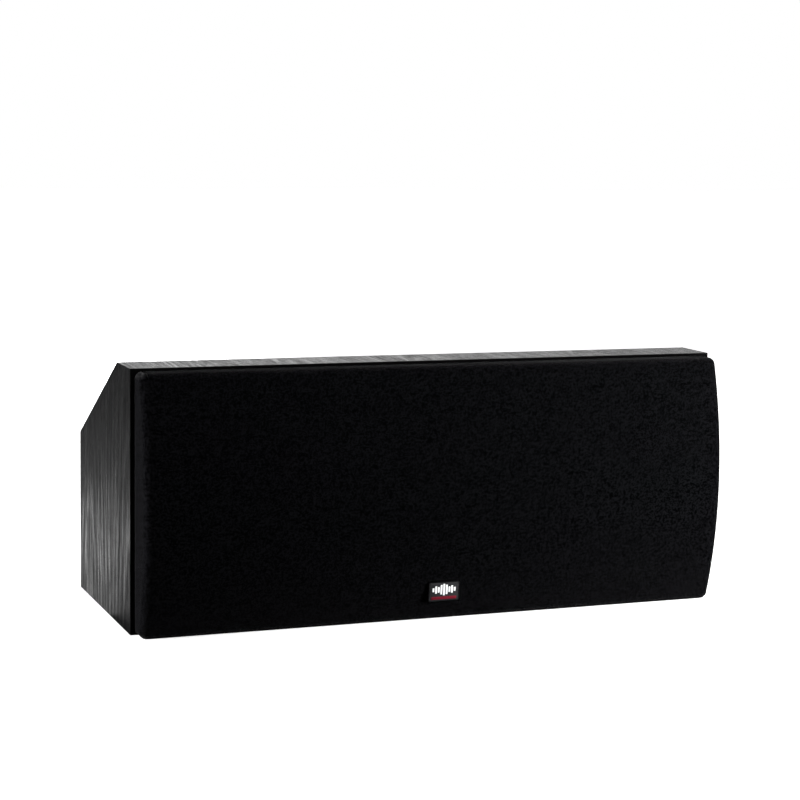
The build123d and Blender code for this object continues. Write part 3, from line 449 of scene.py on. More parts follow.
def cloth_loop():
    """Once round the grille: the edge of its flat middle, and the way out from each place, which turns at
    the corners."""
    half_x = (cloth_high.x - cloth_low.x) / 2 - EDGE_ROUND
    half_z = (cloth_high.z - cloth_low.z) / 2 - EDGE_ROUND
    corners = np.array([(-half_x, half_z), (half_x, half_z), (half_x, -half_z), (-half_x, -half_z)])
    facings = np.array([(0.0, 1.0), (1.0, 0.0), (0.0, -1.0), (-1.0, 0.0)])
    turn = np.radians(np.linspace(0, 90, 9))[1:-1, None]
    core, out = [], []
    for k, count in enumerate((121, 61, 121, 61)):
        following = (k + 1) % 4
        core.append(np.linspace(corners[k], corners[following], count))
        core.append(np.tile(corners[following], (len(turn), 1)))
        out.append(np.tile(facings[k], (count, 1)))
        out.append(np.cos(turn) * facings[k] + np.sin(turn) * facings[following])
    return np.concatenate(core), np.concatenate(out)


def cloth_surface():
    """Rings round the middle of the front, in four stages: spread over the bow, rolled over the edge,
    fallen straight back along the side and tucked in behind the rim. A stage's share is 0 before it and 1
    after it. Each point lies one edge radius out from an inner bow, a circle arc in height. Over the front
    the way out is the bow's own normal. Over the edge it swings from there to the side's normal, both
    weighted by sines of the angle to go. UVs are ways along the cloth in metres."""
    core, out = cloth_loop()
    stages = [np.linspace(0, 1, 41), np.linspace(0, 1, 9)[1:], np.linspace(0, 1, 9)[1:], np.array([0.5, 1.0])]
    spread, rolled, fallen, tucked = (
        np.concatenate([np.clip(share + (n > k) - (n < k), 0, 1) for n, share in enumerate(stages)])[:, None]
        for k in range(len(stages)))
    inner = BOW_RADIUS - EDGE_ROUND
    x = spread * core[:, 0]
    lift = np.arcsin(spread * core[:, 1] / inner)
    whole = np.arccos(np.sin(lift) * out[:, 1])
    turn = rolled * whole
    bow_share = EDGE_ROUND * np.sin(whole - turn) / np.sin(whole)
    side_share = EDGE_ROUND * np.sin(turn) / np.sin(whole)
    y = BOW_CENTRE_Y - (inner + bow_share) * np.cos(lift)
    z = GRILLE_MIDDLE_Z + (inner + bow_share) * np.sin(lift)
    back = fallen * (cloth_high.y - y)
    beside = side_share - HEM * tucked
    points = np.stack([x + beside * out[:, 0], y + back, z + beside * out[:, 1]], axis=-1)
    way = EDGE_ROUND * turn + back + HEM * tucked
    return points, np.stack([x + way * out[:, 0], BOW_RADIUS * lift + way * out[:, 1]], axis=-1)


def thread_count(tree, given):
    """A place on the cloth counted in threads: X and Y of its UV over the pitch."""
    node = tree.nodes.new("ShaderNodeVectorMath")
    node.operation = "DIVIDE"
    put(tree, given["UV"], node.inputs[0])
    put(tree, given["Pitch"], node.inputs[1])
    x, y, z = axes(tree, node.outputs[0])
    return x, y


def knit_group():
    """Rows of round gaps, each row half a pitch along from the last. Thread is 0 in a gap and 1 on the
    thread, by the distance from the gap's middle. Lot is a chance value for each stitch, which catches the
    light in its own way."""
    tree, given, taken = node_group("knit", "UV", {"Pitch": 0.001}, ("Thread", "Lot"))
    x, y = thread_count(tree, given)
    rows = math_node(tree, "DIVIDE", y, ROW_STEP)
    row = math_node(tree, "FLOOR", rows)
    along = plus(tree, x, times(tree, row, 0.5))
    from_middle = [math_node(tree, "SUBTRACT", math_node(tree, "FRACT", way), 0.5) for way in (along, rows)]
    put(tree, ramp(tree, root_of_squares(tree, *from_middle), 0.16, 0.36), taken["Thread"])
    stitch = tree.nodes.new("ShaderNodeCombineXYZ")
    put(tree, math_node(tree, "FLOOR", along), stitch.inputs["X"])
    put(tree, row, stitch.inputs["Y"])
    chance = tree.nodes.new("ShaderNodeTexWhiteNoise")
    chance.noise_dimensions = "2D"
    put(tree, stitch.outputs[0], chance.inputs["Vector"])
    put(tree, chance.outputs["Value"], taken["Lot"])
    return tree


def uv_place(tree):
    """The piece's own UV map, in metres along the cloth."""
    return tree.nodes.new("ShaderNodeTexCoord").outputs["UV"]


cloth_finish, tree, shader = finish(
    "grille_cloth", Roughness=1.0, Specular_IOR_Level=0.0, Sheen_Weight=0.04, Sheen_Roughness=0.33)
stitches = group_node(tree, knit_group(), UV=uv_place(tree), Pitch=KNIT_PITCH)
thread = mixed(tree, ramp(tree, stitches["Lot"], 0.35, 0.65), grey(0.0003, 0.0001), grey(0.0034, 0.0006))
# The knit's gaps take a near-black colour: painted shade for the dark seen through the holes.
feed(tree, shader, Base_Color=mixed(tree, stitches["Thread"], grey(0.0003), thread))
bump(tree, shader, stitches["Thread"], depth=0.00025, strength=0.7)
cloth_points, cloth_uv = cloth_surface()
grille_cloth = grid_mesh("grille_cloth_sheet", [(cloth_points, cloth_uv)], cloth_finish)
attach(grille_cloth, "grille")
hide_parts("grille_cloth")


# Badge: a small dark-metal plate glued to the cloth near its lower edge. Its sunk field is filled with
# black enamel, and a plain row of white sound-level bars over a dark red strip is printed on the enamel.
badge_low, badge_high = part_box("grille_badge")
BADGE_HEIGHT = 0.0145
BADGE_LEAN = math.radians(5.0)
BADGE_RECESS = 0.0005
BADGE_RIM = 0.0006
ENAMEL = 0.0003
PRINT_RISE = 0.00012
BAR_PITCH = 0.0021
BAR_WIDTH = 0.0015
BAR_HEIGHTS = (0.0030, 0.0056, 0.0042, 0.0072, 0.0088, 0.0072, 0.0042, 0.0056, 0.0030)
BARS_LEVEL = 0.0014
STRIP_WIDTH = 0.0200
STRIP_HEIGHT = 0.0022
STRIP_LEVEL = -0.0049
badge_out = np.array((0.0, -math.cos(BADGE_LEAN), -math.sin(BADGE_LEAN)))
badge_up = np.array((0.0, -math.sin(BADGE_LEAN), math.cos(BADGE_LEAN)))
badge_across = np.array((1.0, 0.0, 0.0))
badge_face = np.array((0.0, badge_low.y + BADGE_HEIGHT / 2 * math.sin(BADGE_LEAN),
                       badge_low.z + BADGE_HEIGHT / 2 * math.cos(BADGE_LEAN)))


def rounded_outline(half, corner, count):
    """Points of a rounded rectangle, as a core corner plus a turning unit vector times the corner's
    radius."""
    angle = np.linspace(0, 2 * math.pi, count, endpoint=False) + math.pi / count
    unit = np.stack([np.cos(angle), np.sin(angle)])
    return np.sign(unit) * (np.array(half)[:, None] - corner) + corner * unit


def low_pillow(width, height, bottom, top, corner):
    """A low plate on the badge's plane: a rounded rectangle carried up in rings, from the middle of its
    under side to the middle of its top. Near the top the outline is drawn in twice, which rounds the upper
    edge."""
    half = np.array((width / 2, height / 2))
    edge = min(corner, top - bottom) / 2
    rings = [(0, 0.0, bottom), (1, 0.0, bottom), (1, 0.0, top - edge), (1, edge * 0.3, top - edge * 0.3),
             (1, edge, top), (0, 0.0, top)]
    outlines = [spread * rounded_outline(half - inset, corner - inset, 48) for spread, inset, level in rings]
    u, v = np.stack(outlines, axis=1)[..., None]
    h = np.array([level for spread, inset, level in rings])[:, None, None]
    points = badge_face + u * badge_across + v * badge_up + h * badge_out
    return points, np.concatenate([u, v], axis=-1)


def badge_print(width, height, at_u, at_v):
    """A thick printed mark on the enamel, moved to its place on the badge's plane."""
    bottom, top = enamel_top - ENAMEL / 3, enamel_top + PRINT_RISE
    points, uv = low_pillow(width, height, bottom, top, min(width, height) / 4)
    return points + at_u * badge_across + at_v * badge_up, uv


def brushed(name, dark, light, rough, waves=(52.0, 2600.0, 2600.0)):
    """Drawn or turned metal: fine lines in the tone and the gloss, along the axis with the fewest waves."""
    material, tree, shader = finish(name, Metallic=1.0)
    lines = drawn_noise(tree, object_place(tree), waves, detail=3.0, roughness=0.6)
    feed(tree, shader, Base_Color=mixed(tree, lines, dark, light),
         Roughness=from_noise(tree, lines, rough - 0.05, rough + 0.10))
    bump(tree, shader, lines, depth=0.00002, strength=0.5)
    return material


dress(brushed("badge_metal", grey(0.06, 0.005), grey(0.11, 0.005), rough=0.30), "grille_badge")
enamel_floor = -BADGE_RECESS
enamel_top = enamel_floor + ENAMEL
field_width = badge_high.x - badge_low.x - 2 * BADGE_RIM
field_height = BADGE_HEIGHT - 2 * BADGE_RIM
enamel = moulded("badge_enamel", grey(0.014, 0.001), grey(0.022, 0.001), 0.20, 900.0, 0.00001, gloss=0.25)
bar_white = moulded("badge_white", grey(0.70), grey(0.82), 0.35, 1800.0, 0.00001)
strip_red = moulded(
    "badge_red", (0.075, 0.004, 0.009), (0.11, 0.006, 0.013), 0.40, 1800.0, 0.00001, gloss=0.25)
field = [low_pillow(field_width, field_height, enamel_floor - ENAMEL / 3, enamel_top, BADGE_RECESS)]
bars = [badge_print(BAR_WIDTH, bar_height, (k - len(BAR_HEIGHTS) // 2) * BAR_PITCH, BARS_LEVEL)
        for k, bar_height in enumerate(BAR_HEIGHTS)]
strip = [badge_print(STRIP_WIDTH, STRIP_HEIGHT, 0.0, STRIP_LEVEL)]
for name, patches, material in (("badge_field", field, enamel), ("badge_bars", bars, bar_white),
                                ("badge_strip", strip, strip_red)):
    filling = grid_mesh(name, patches, material, closed_u=True)
    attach(filling, "grille")


# Woofer chassis: a pressed-steel basket in satin black paint, a foam gasket ring, and a motor of
# zinc-plated plates round a ferrite ring. Cross-recess screws hold each basket to the baffle by its flange.
def box_middle(node):
    """The middle of a CAD node's box."""
    low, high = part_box(node)
    return (low + high) / 2


FRONT_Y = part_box("front_baffle")[0].y
AXIS_Z = box_middle("front_baffle").z
WOOFERS = {side: box_middle(f"{side}_woofer_magnet").x for side in ("left", "right")}
DRIVERS = ("left_woofer", "right_woofer", "tweeter")
TURNED = (2600.0, 52.0, 2600.0)
GASKET = {"outer": 0.0576, "inner": 0.0548, "bottom": -0.0026, "top": 0.0020, "round": 0.0006}


def turned_front(name, profile, centre_x, material):
    """A closed section of (radius, height) points turned about the driver's axis, with heights counted
    forward from the baffle. Points on the axis are welded to one, so a section that starts and ends there
    makes a closed shell."""
    radius, height = (np.array(values) for values in zip(*profile))
    angle = np.linspace(0, 2 * math.pi, 120, endpoint=False)
    r, a = np.meshgrid(radius, angle, indexing="ij")
    h = np.broadcast_to(height[:, None], r.shape)
    points = np.stack([centre_x + r * np.cos(a), FRONT_Y - h, AXIS_Z + r * np.sin(a)], axis=-1)
    way = np.concatenate([[0], np.cumsum(np.hypot(np.diff(radius), np.diff(height)))])
    uv = np.stack([a * radius.max(), np.broadcast_to(way[:, None], r.shape)], axis=-1)
    off_axis = max(radius[0], radius[-1]) > 1e-9
    return grid_mesh(name, [(points, uv)], material, closed_u=True, closed_v=off_axis)


def arc(centre_r, centre_h, radius, start, stop, count):
    """Points on a circle in the section, from one angle to another in degrees."""
    angle = np.radians(np.linspace(start, stop, count))
    points = np.stack([centre_r + radius * np.cos(angle), centre_h + radius * np.sin(angle)], axis=-1)
    return points.tolist()


basket_paint = moulded("basket_paint", grey(0.012), grey(0.020, 0.001), 0.42, 700.0, 0.00004)
dress(basket_paint, "left_woofer_basket", "right_woofer_basket")
zinc_plate = brushed("zinc_plate", (0.52, 0.52, 0.49), (0.66, 0.66, 0.63), 0.32, TURNED)
dress(zinc_plate, *(f"{driver}_{plate}" for driver in DRIVERS for plate in ("top_plate", "yoke")))
ferrite = moulded("ferrite", grey(0.040, 0.002), grey(0.070, 0.002), 0.62, 600.0, 0.00008)
dress(ferrite, *(f"{driver}_magnet" for driver in DRIVERS))
foam = moulded("foam", grey(0.014), grey(0.024), 0.9, 1100.0, 0.0003, gloss=0.2)
dress(foam, "terminal_gasket")
round_level = GASKET["top"] - GASKET["round"]
gasket_section = [(GASKET["inner"], GASKET["bottom"]), (GASKET["outer"], GASKET["bottom"])]
gasket_section += arc(GASKET["outer"] - GASKET["round"], round_level, GASKET["round"], 0, 90, 6)
gasket_section += arc(GASKET["inner"] + GASKET["round"], round_level, GASKET["round"], 90, 180, 6)
for side, x in WOOFERS.items():
    gasket = turned_front(f"{side}_woofer_gasket_ring", gasket_section, x, foam)
    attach(gasket, "cabinet")
    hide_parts(f"{side}_woofer_gasket")


# Woofer cones: a moulded cone and dust cap with a rubber half-roll edge, on a copper coil centred by a
# corrugated cloth spider. Cone, cap and coil travel together. In the real driver edge and spider flex between
# them and the basket; here they are not bent.
FRONT_LEVEL = -0.0034
ROLL = {"middle": 0.0495, "under": 0.0040, "over": 0.0048, "outer": 0.0576, "inner": 0.0425}
RUBBER = 0.0008
CONE = {"edge": 0.0455, "top": 0.0425, "neck": 0.0131, "wall": 0.0008, "drop": 0.018}
CAP = {"radius": 0.018, "rise": 0.006, "wall": 0.0006}
SPIDER = {"outer": 0.0368, "shelf": 0.033, "inner": 0.0161, "neck": 0.0131, "level": -0.027, "wall": 0.0005,
          "rise": 0.0016, "waves": 4}


def roll_edge_section():
    """A half-roll of rubber: an outer half circle between two flat lips, and an inner one under it."""
    lip_turn = math.degrees(math.asin(RUBBER / ROLL["over"]))
    section = [(ROLL["outer"], FRONT_LEVEL), (ROLL["outer"], FRONT_LEVEL + RUBBER)]
    section += arc(ROLL["middle"], FRONT_LEVEL, ROLL["over"], lip_turn, 180 - lip_turn, 25)
    section += [(ROLL["inner"], FRONT_LEVEL + RUBBER), (ROLL["inner"], FRONT_LEVEL)]
    return section + arc(ROLL["middle"], FRONT_LEVEL, ROLL["under"], 180, 0, 25)


cone_slope = CONE["drop"] / (CONE["top"] - CONE["neck"])


def cone_height(radius):
    """The cone's front face falls evenly from its flat rim to its neck."""
    return FRONT_LEVEL - cone_slope * (CONE["top"] - radius)


def cone_section():
    """The cone's front face from its flat rim to its neck, and its rear face back, one wall behind it."""
    wall_down = CONE["wall"] * math.hypot(1, cone_slope)
    flank = [(r, cone_height(r)) for r in np.linspace(CONE["top"], CONE["neck"], 24).tolist()]
    rear = [(r, h - wall_down) for r, h in reversed(flank)]
    return [(CONE["edge"], FRONT_LEVEL)] + flank + rear + [(CONE["edge"], FRONT_LEVEL - CONE["wall"])]


def cap_section():
    """A ball's cap that sits on the cone, with its inner face one wall under it."""
    ball = (CAP["radius"] ** 2 + CAP["rise"] ** 2) / (2 * CAP["rise"])
    turn = math.degrees(math.asin(CAP["radius"] / ball))
    middle = cone_height(CAP["radius"]) + CAP["wall"] + CAP["rise"] - ball
    return arc(0.0, middle, ball, 90, 90 - turn, 25) + arc(0.0, middle, ball - CAP["wall"], 90 - turn, 90, 25)


def spider_section():
    """Corrugations between a flat outer rim and a flat neck: a rise times one less the cosine of the way
    across."""
    across = np.linspace(SPIDER["shelf"], SPIDER["inner"], 65)
    way = (SPIDER["shelf"] - across) / (SPIDER["shelf"] - SPIDER["inner"])
    swell = SPIDER["rise"] * (1 - np.cos(way * 2 * math.pi * SPIDER["waves"])) / 2
    line = [(SPIDER["outer"], 0.0)] + list(zip(across.tolist(), swell.tolist())) + [(SPIDER["neck"], 0.0)]
    rear = [(r, SPIDER["level"] + h) for r, h in line]
    return rear + [(r, h + SPIDER["wall"]) for r, h in reversed(rear)]


def flexing(piece):
    """Bakes a turned piece's placement into its mesh and reads its points back. It does not bend the piece
    between bodies."""
    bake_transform(piece)
    place = np.empty(len(piece.data.vertices) * 3, dtype=np.float32)
    piece.data.vertices.foreach_get("co", place)
    x, y, z = place.reshape(-1, 3).T


def weave_group():
    """Plain weave in UV: the product of a sine along each thread, over and under in turn."""
    tree, given, taken = node_group("plain_weave", "UV", {"Pitch": 0.0006}, ("Height",))
    waves = [math_node(tree, "SINE", times(tree, count, math.pi)) for count in thread_count(tree, given)]
    put(tree, times(tree, *waves), taken["Height"])
    return tree


plain_weave = weave_group()


def woven(name, dark, light, pitch, depth, rough):
    """Stiffened cloth in plain weave, darker in its hollows as painted shade."""
    material, tree, shader = finish(name, Roughness=rough, Specular_IOR_Level=0.3)
    height = group_node(tree, plain_weave, UV=uv_place(tree), Pitch=pitch)["Height"]
    # Painted shade: the colour darkens with the weave's height where the threads dip.
    feed(tree, shader, Base_Color=mixed(tree, ramp(tree, height, -1.0, 1.0), dark, light))
    bump(tree, shader, height, depth, strength=0.7)
    return material


def wound(name, dark, light, pitch):
    """Enamelled wire wound side by side: round ridges along the piece's Y axis. Its colour is a painted
    highlight on each crest and painted shade between the wires, times a random tone.
    """
    material, tree, shader = finish(name, Metallic=1.0)
    place = object_place(tree)
    ridge = math_node(tree, "SINE", times(tree, axes(tree, place)["Y"], 2 * math.pi / pitch))
    tone = noise(tree, place, scale=160.0, detail=3.0, roughness=0.6)
    # Painted highlight on the wire's crests and painted shade in the grooves, times the random tone.
    lit = times(tree, ramp(tree, ridge, -1.0, 1.0), tone)
    feed(tree, shader, Base_Color=mixed(tree, lit, dark, light), Roughness=from_noise(tree, tone, 0.28, 0.40))
    bump(tree, shader, ridge, depth=pitch / 3, strength=0.8)
    return material


cone_pulp, tree, shader = finish("cone_pulp", Specular_IOR_Level=0.5)
flecks = noise(tree, object_place(tree), scale=1300.0, detail=4.0, roughness=0.75)
fleck_share = ramp(tree, flecks, 0.55, 0.75)
feed(tree, shader, Base_Color=mixed(tree, fleck_share, grey(0.016, 0.001), grey(0.050, 0.003)),
     Roughness=from_noise(tree, flecks, 0.36, 0.52))
bump(tree, shader, flecks, depth=0.00008, strength=0.6)
cap_skin = moulded("dust_cap", grey(0.012, 0.001), grey(0.018, 0.001), 0.30, 1600.0, 0.00002)
edge_rubber = moulded("rubber_edge", grey(0.010), grey(0.016), 0.46, 1500.0, 0.00003)
spider_cloth = woven("spider_cloth", (0.26, 0.16, 0.05), (0.60, 0.42, 0.16), 0.0007, 0.0002, rough=0.8)
copper_wire = wound("copper_wire", (0.30, 0.10, 0.04), (0.86, 0.40, 0.20), pitch=0.0006)
dress(copper_wire, *(f"{driver}_voice_coil" for driver in DRIVERS))
for side, x in WOOFERS.items():
    moving = f"{side}_cone"
    for piece, section, material in (("cone", cone_section(), cone_pulp),
                                     ("dust_cap", cap_section(), cap_skin)):
        shell = turned_front(f"{side}_woofer_{piece}_shell", section, x, material)
        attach(shell, moving)
        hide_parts(f"{side}_woofer_{piece}")
    roll = turned_front(f"{side}_woofer_roll_edge", roll_edge_section(), x, edge_rubber)
    flexing(roll)
    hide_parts(f"{side}_woofer_surround")
    spider = turned_front(f"{side}_woofer_spider_cloth", spider_section(), x, spider_cloth)
    flexing(spider)
    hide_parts(f"{side}_woofer_spider")


# Tweeter: a moulded faceplate with a shallow flare, screwed over a small motor, and a coated silk dome with
# its own roll. The rim of the silk is clamped under the faceplate. In the real tweeter the dome travels with
# its coil; here the silk is not moved with it.
DOME = {"seat": 0.0203, "edge": 0.0126, "rise": 0.0052, "flat": 0.0010, "roll": 0.0016, "wall": 0.0004}
dome_ball = (DOME["edge"] ** 2 + DOME["rise"] ** 2) / (2 * DOME["rise"])
dome_turn = math.degrees(math.asin(DOME["edge"] / dome_ball))
roll_inner = DOME["edge"] + DOME["flat"]
roll_middle = roll_inner + DOME["roll"]


def dome_face(lift):
    """One face of the silk, from the middle of the dome over its flat and roll to the clamped rim."""
    cap = arc(0.0, DOME["rise"] - dome_ball, dome_ball + lift, 90, 90 - dome_turn, 25)
    roll = arc(roll_middle, 0.0, DOME["roll"] + lift, 180, 0, 17)
    return cap + [(r, max(h, lift)) for r, h in roll] + [(DOME["seat"], lift)]


faceplate_skin = moulded("faceplate_skin", grey(0.011), grey(0.017, 0.001), 0.40, 1800.0, 0.00003)
dress(faceplate_skin, "tweeter_faceplate")
silk = woven("coated_silk", grey(0.008, 0.0005), grey(0.018, 0.001), 0.00035, 0.00004, rough=0.42)
dome = turned_front("tweeter_silk_dome", dome_face(DOME["wall"]) + dome_face(0.0)[::-1], 0.0, silk)
flexing(dome)
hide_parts("tweeter_dome")


# Screws: blackened cross-recess wood screws. Pan heads hold the drivers by their flanges, and countersunk
# heads lie level with the flange of the terminal cup. Each is one closed form from the middle of its head
# to its point.
REAR_Y = rear_high.y
TERMINAL_Z = box_middle("terminal_cup").z
HEAD_R = 0.0034
HEAD = 0.0022
SHANK_R = 0.00175
BITE = 0.012
CROSS = {"arm": 0.0019, "half": 0.00042, "soft": 0.00014, "slope": 0.35, "depth": 0.0013}
FLANGE = 0.0012
FACEPLATE = 0.0040
CUP_FACE = 0.0035
WOOFER_CIRCLE = 0.063
TWEETER_CIRCLE = 0.044
CUP_SCREW = (0.03775, 0.02575)


def recess_slot(along, across):
    """One slot of the recess: a soft step to each side, times a slope that rises to the end of each arm."""
    beside = np.clip((CROSS["half"] + CROSS["soft"] - np.abs(across)) / (2 * CROSS["soft"]), 0, 1)
    return beside * np.clip((CROSS["arm"] - np.abs(along)) / (CROSS["arm"] * CROSS["slope"]), 0, 1)


def screw(crown, neck, bite):
    """Rings of a screw about its own axis. The head's upper face is a shallow dome of that crown, cut by
    the deeper of two crossed slots, and neck is the height at which its under side meets the shank. Gives
    x, y and height of each point."""
    over = np.linspace(0, HEAD_R, 30)
    rings = [(r, crown * math.sqrt(max(0.0, 1 - (r / (HEAD_R * 1.03)) ** 2))) for r in over.tolist()]
    rings += [(HEAD_R, 0.0), (SHANK_R, neck), (SHANK_R, SHANK_R - bite), (0.0, -bite)]
    radius, height = (np.array(values)[:, None] for values in zip(*rings))
    angle = np.linspace(0, 2 * math.pi, 64, endpoint=False)[None, :]
    x, y = radius * np.cos(angle), radius * np.sin(angle)
    on_head = (np.arange(len(rings)) < len(over))[:, None]
    cut = CROSS["depth"] * np.maximum(recess_slot(x, y), recess_slot(y, x))
    return x, y, height - np.where(on_head, cut, 0.0)


def ring_places(centre_x, radius):
    """Four places on a circle on the baffle, each halfway between two quarter lines."""
    angle = np.radians((45, 135, 225, 315))
    return np.stack([centre_x + radius * np.cos(angle), AXIS_Z + radius * np.sin(angle)], axis=-1).tolist()


def facing_front(x, y, height, at, seat):
    """A form about its own axis, placed to look forward from the baffle at (x, z), seat in front of it."""
    return np.stack([at[0] + x, FRONT_Y - seat - height, at[1] + y], axis=-1), np.stack([x, y], axis=-1)


def facing_rear(x, y, height, at, seat=0.0):
    """A form about its own axis, placed to look backward from the rear panel at (x, z), seat behind it."""
    return np.stack([at[0] - x, REAR_Y + seat + height, at[1] + y], axis=-1), np.stack([x, y], axis=-1)


black_screws = brushed("black_screws", grey(0.018), grey(0.045, 0.002), 0.34, (1352.0, 1352.0, 1352.0))
woofer_pan, tweeter_pan = (screw(HEAD, 0.0, BITE + seat) for seat in (FLANGE, FACEPLATE))
countersunk = screw(0.0, -HEAD, BITE + CUP_FACE)
woofer_places = [at for x in WOOFERS.values() for at in ring_places(x, WOOFER_CIRCLE)]
cup_places = [(side * CUP_SCREW[0], TERMINAL_Z + level * CUP_SCREW[1])
              for side in (-1, 1) for level in (-1, 1)]
SCREW_SETS = {
    "woofer_screws": [facing_front(*woofer_pan, at, FLANGE) for at in woofer_places],
    "tweeter_screws": [facing_front(*tweeter_pan, at, FACEPLATE) for at in ring_places(0.0, TWEETER_CIRCLE)],
    "terminal_screws": [facing_rear(*countersunk, at, CUP_FACE) for at in cup_places],
}
for node, patches in SCREW_SETS.items():
    screws = grid_mesh(f"cross_{node}", patches, black_screws, closed_u=True)
    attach(screws, "cabinet")
    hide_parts(node)


# Terminal cup: a moulded dish in the rear panel, with a flange on a foam gasket. Its walls draw in towards
# the floor, its edges are softly rounded, and a raised plus and minus stand above the two posts.
CUP = {"mouth": (0.0325, 0.0205), "mouth_round": 0.0065, "flange": (0.0445, 0.0325), "flange_round": 0.009,
       "dish": (0.035, 0.023), "floor": -0.0175, "back": -0.020, "face": CUP_FACE, "under": 0.001,
       "draw": 0.0022, "floor_round": 0.0018, "lip_round": 0.0010, "rim_round": 0.0012}
POST_X = box_middle("black_knob").x
BOSS_R = 0.006
SIGN_RISE = 0.0005
SIGN_LONG = 0.0024
SIGN_THIN = 0.0006
SIGN_Z = 0.0128


def cup_rings():
    """The cup from the middle of its floor, up the drawn wall, over the flange and round to the middle of
    its back. Each ring is a rounded rectangle at one height. Quarter circles of small rings round the
    floor, the lip and the rim. Rings across the flange between them sink below each screw head, by a cone's
    share of the distance from its axis."""
    mouth, flange, dish = (np.array(CUP[size]) for size in ("mouth", "flange", "dish"))
    floor_round, lip, rim = CUP["floor_round"], CUP["lip_round"], CUP["rim_round"]
    floor_half = mouth - CUP["draw"]
    quarter = np.radians(np.linspace(0, 90, 7)).tolist()
    rings = [(floor_half * 0.0, 0.0, CUP["floor"])]
    for q in quarter:
        inset = floor_round * (1 - math.sin(q))
        level = CUP["floor"] + floor_round * (1 - math.cos(q))
        rings.append((floor_half - inset, CUP["mouth_round"] - inset, level))
    for q in quarter:
        grow = lip * (1 - math.cos(q))
        rings.append((mouth + grow, CUP["mouth_round"] + grow, CUP["face"] - lip * (1 - math.sin(q))))
    flange_start = len(rings)
    inner, inner_round, face = rings[-1]
    outer, outer_round = flange - rim, CUP["flange_round"] - rim
    for share in np.linspace(0, 1, 32)[1:-1].tolist():
        corner = inner_round + share * (outer_round - inner_round)
        rings.append((inner + share * (outer - inner), corner, face))
    flange_end = len(rings)
    for q in quarter:
        inset = rim * (1 - math.sin(q))
        level = CUP["face"] - rim * (1 - math.cos(q))
        rings.append((flange - inset, CUP["flange_round"] - inset, level))
    rings.append((flange, CUP["flange_round"], CUP["under"]))
    rings.append((dish, CUP["flange_round"], CUP["under"]))
    rings.append((dish, CUP["flange_round"], CUP["back"]))
    rings.append((dish * 0.0, 0.0, CUP["back"]))
    x, y = np.stack([rounded_outline(half, corner, 96) for half, corner, level in rings], axis=1)
    heights = np.repeat(np.array([level for half, corner, level in rings])[:, None], x.shape[1], axis=1)
    across = slice(flange_start, flange_end)
    from_screw = np.hypot(np.abs(x[across]) - CUP_SCREW[0], np.abs(y[across]) - CUP_SCREW[1])
    heights[across] -= HEAD * np.clip((HEAD_R * 0.97 - from_screw) / (HEAD_R * 0.25), 0, 1)
    return x, y, heights


def low_block(half, corner, bottom, top):
    """A small raised block: its outline carried up, drawn in at the upper edge and closed over."""
    edge = corner * 0.5
    levels = [(0, 0.0, bottom), (1, 0.0, bottom), (1, 0.0, top - edge), (1, edge, top), (0, 0.0, top)]
    outlines = [share * rounded_outline(np.array(half) - inset, corner - inset * 0.9, 32)
                for share, inset, level in levels]
    x, y = np.stack(outlines, axis=1)
    return x, y, np.broadcast_to(np.array([[level] for share, inset, level in levels]), x.shape)


cup_skin = moulded("cup_moulding", grey(0.012), grey(0.018), 0.48, 1600.0, 0.00006)
boss = low_block((BOSS_R, BOSS_R), BOSS_R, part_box("terminal_cup")[0].y - REAR_Y, CUP["back"])
sign_reach = CUP["floor"] - SIGN_RISE, CUP["floor"] + SIGN_RISE
level_stroke = low_block((SIGN_LONG, SIGN_THIN), SIGN_THIN * 0.6, *sign_reach)
upright_stroke = low_block((SIGN_THIN, SIGN_LONG), SIGN_THIN * 0.6, *sign_reach)
cup_patches = [facing_rear(*cup_rings(), (0.0, TERMINAL_Z))]
cup_patches += [facing_rear(*boss, (x, TERMINAL_Z)) for x in (-POST_X, POST_X)]
cup_patches += [facing_rear(*level_stroke, (x, TERMINAL_Z + SIGN_Z)) for x in (-POST_X, POST_X)]
cup_patches += [facing_rear(*upright_stroke, (-POST_X, TERMINAL_Z + SIGN_Z))]
cup = grid_mesh("terminal_dish", cup_patches, cup_skin, closed_u=True)
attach(cup, "cabinet")
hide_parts("terminal_cup")


# Binding posts: gilt brass posts with fluted screw caps, red and black, open at the end for a plug. Nuts on
# their studs clamp the crossover board behind the cup.
KNOB = {"bore": 0.00306, "mouth": 0.0025, "bevel": 0.0009, "flutes": 12, "flute_depth": 0.00045, "cap": 0.002}
KNOB_TONES = {"red": ((0.34, 0.010, 0.008), (0.46, 0.018, 0.014)), "black": (grey(0.010), grey(0.016))}


def fluted_knob(low, high):
    """The cap as a closed section turned about the post: up the outside, over the bevelled end, into the
    mouth and down the bore. On the outside the radius is drawn in by twelve round flutes, the cosine of
    half of twelve times the angle, to an even power. Each point of the section is a radius, a height and
    its share of the flutes."""
    outer, length = (high.x - low.x) / 2, high.y - low.y
    bore, mouth, bevel = KNOB["bore"], KNOB["mouth"], KNOB["bevel"]
    cap_under = length - KNOB["cap"]
    section = [(bore, 0.0, 0.0), (outer - bevel / 2, 0.0, 0.0), (outer, bevel / 2, 0.0), (outer, bevel, 0.0),
               (outer, bevel * 1.6, 1.0), (outer, length / 2, 1.0)]
    for share in np.linspace(0, 1, 6).tolist():
        q = share * math.pi / 2
        level = length - bevel * (1 - math.sin(q))
        section.append((outer - bevel * (1 - math.cos(q)), level, 1 - 0.8 * share))
    section += [(mouth + bevel / 3, length, 0.0), (mouth, length - bevel / 3, 0.0), (mouth, cap_under, 0.0),
                (bore, cap_under, 0.0)]
    radius, height, fluted = (np.array(values)[:, None] for values in zip(*section))
    angle = np.linspace(0, 2 * math.pi, 192, endpoint=False)[None, :]
    r = radius - fluted * KNOB["flute_depth"] * np.cos(angle * KNOB["flutes"] / 2) ** 6
    x, y = r * np.cos(angle), r * np.sin(angle)
    at = ((low.x + high.x) / 2, (low.z + high.z) / 2)
    return facing_rear(x, y, np.broadcast_to(height, x.shape), at, low.y - REAR_Y)


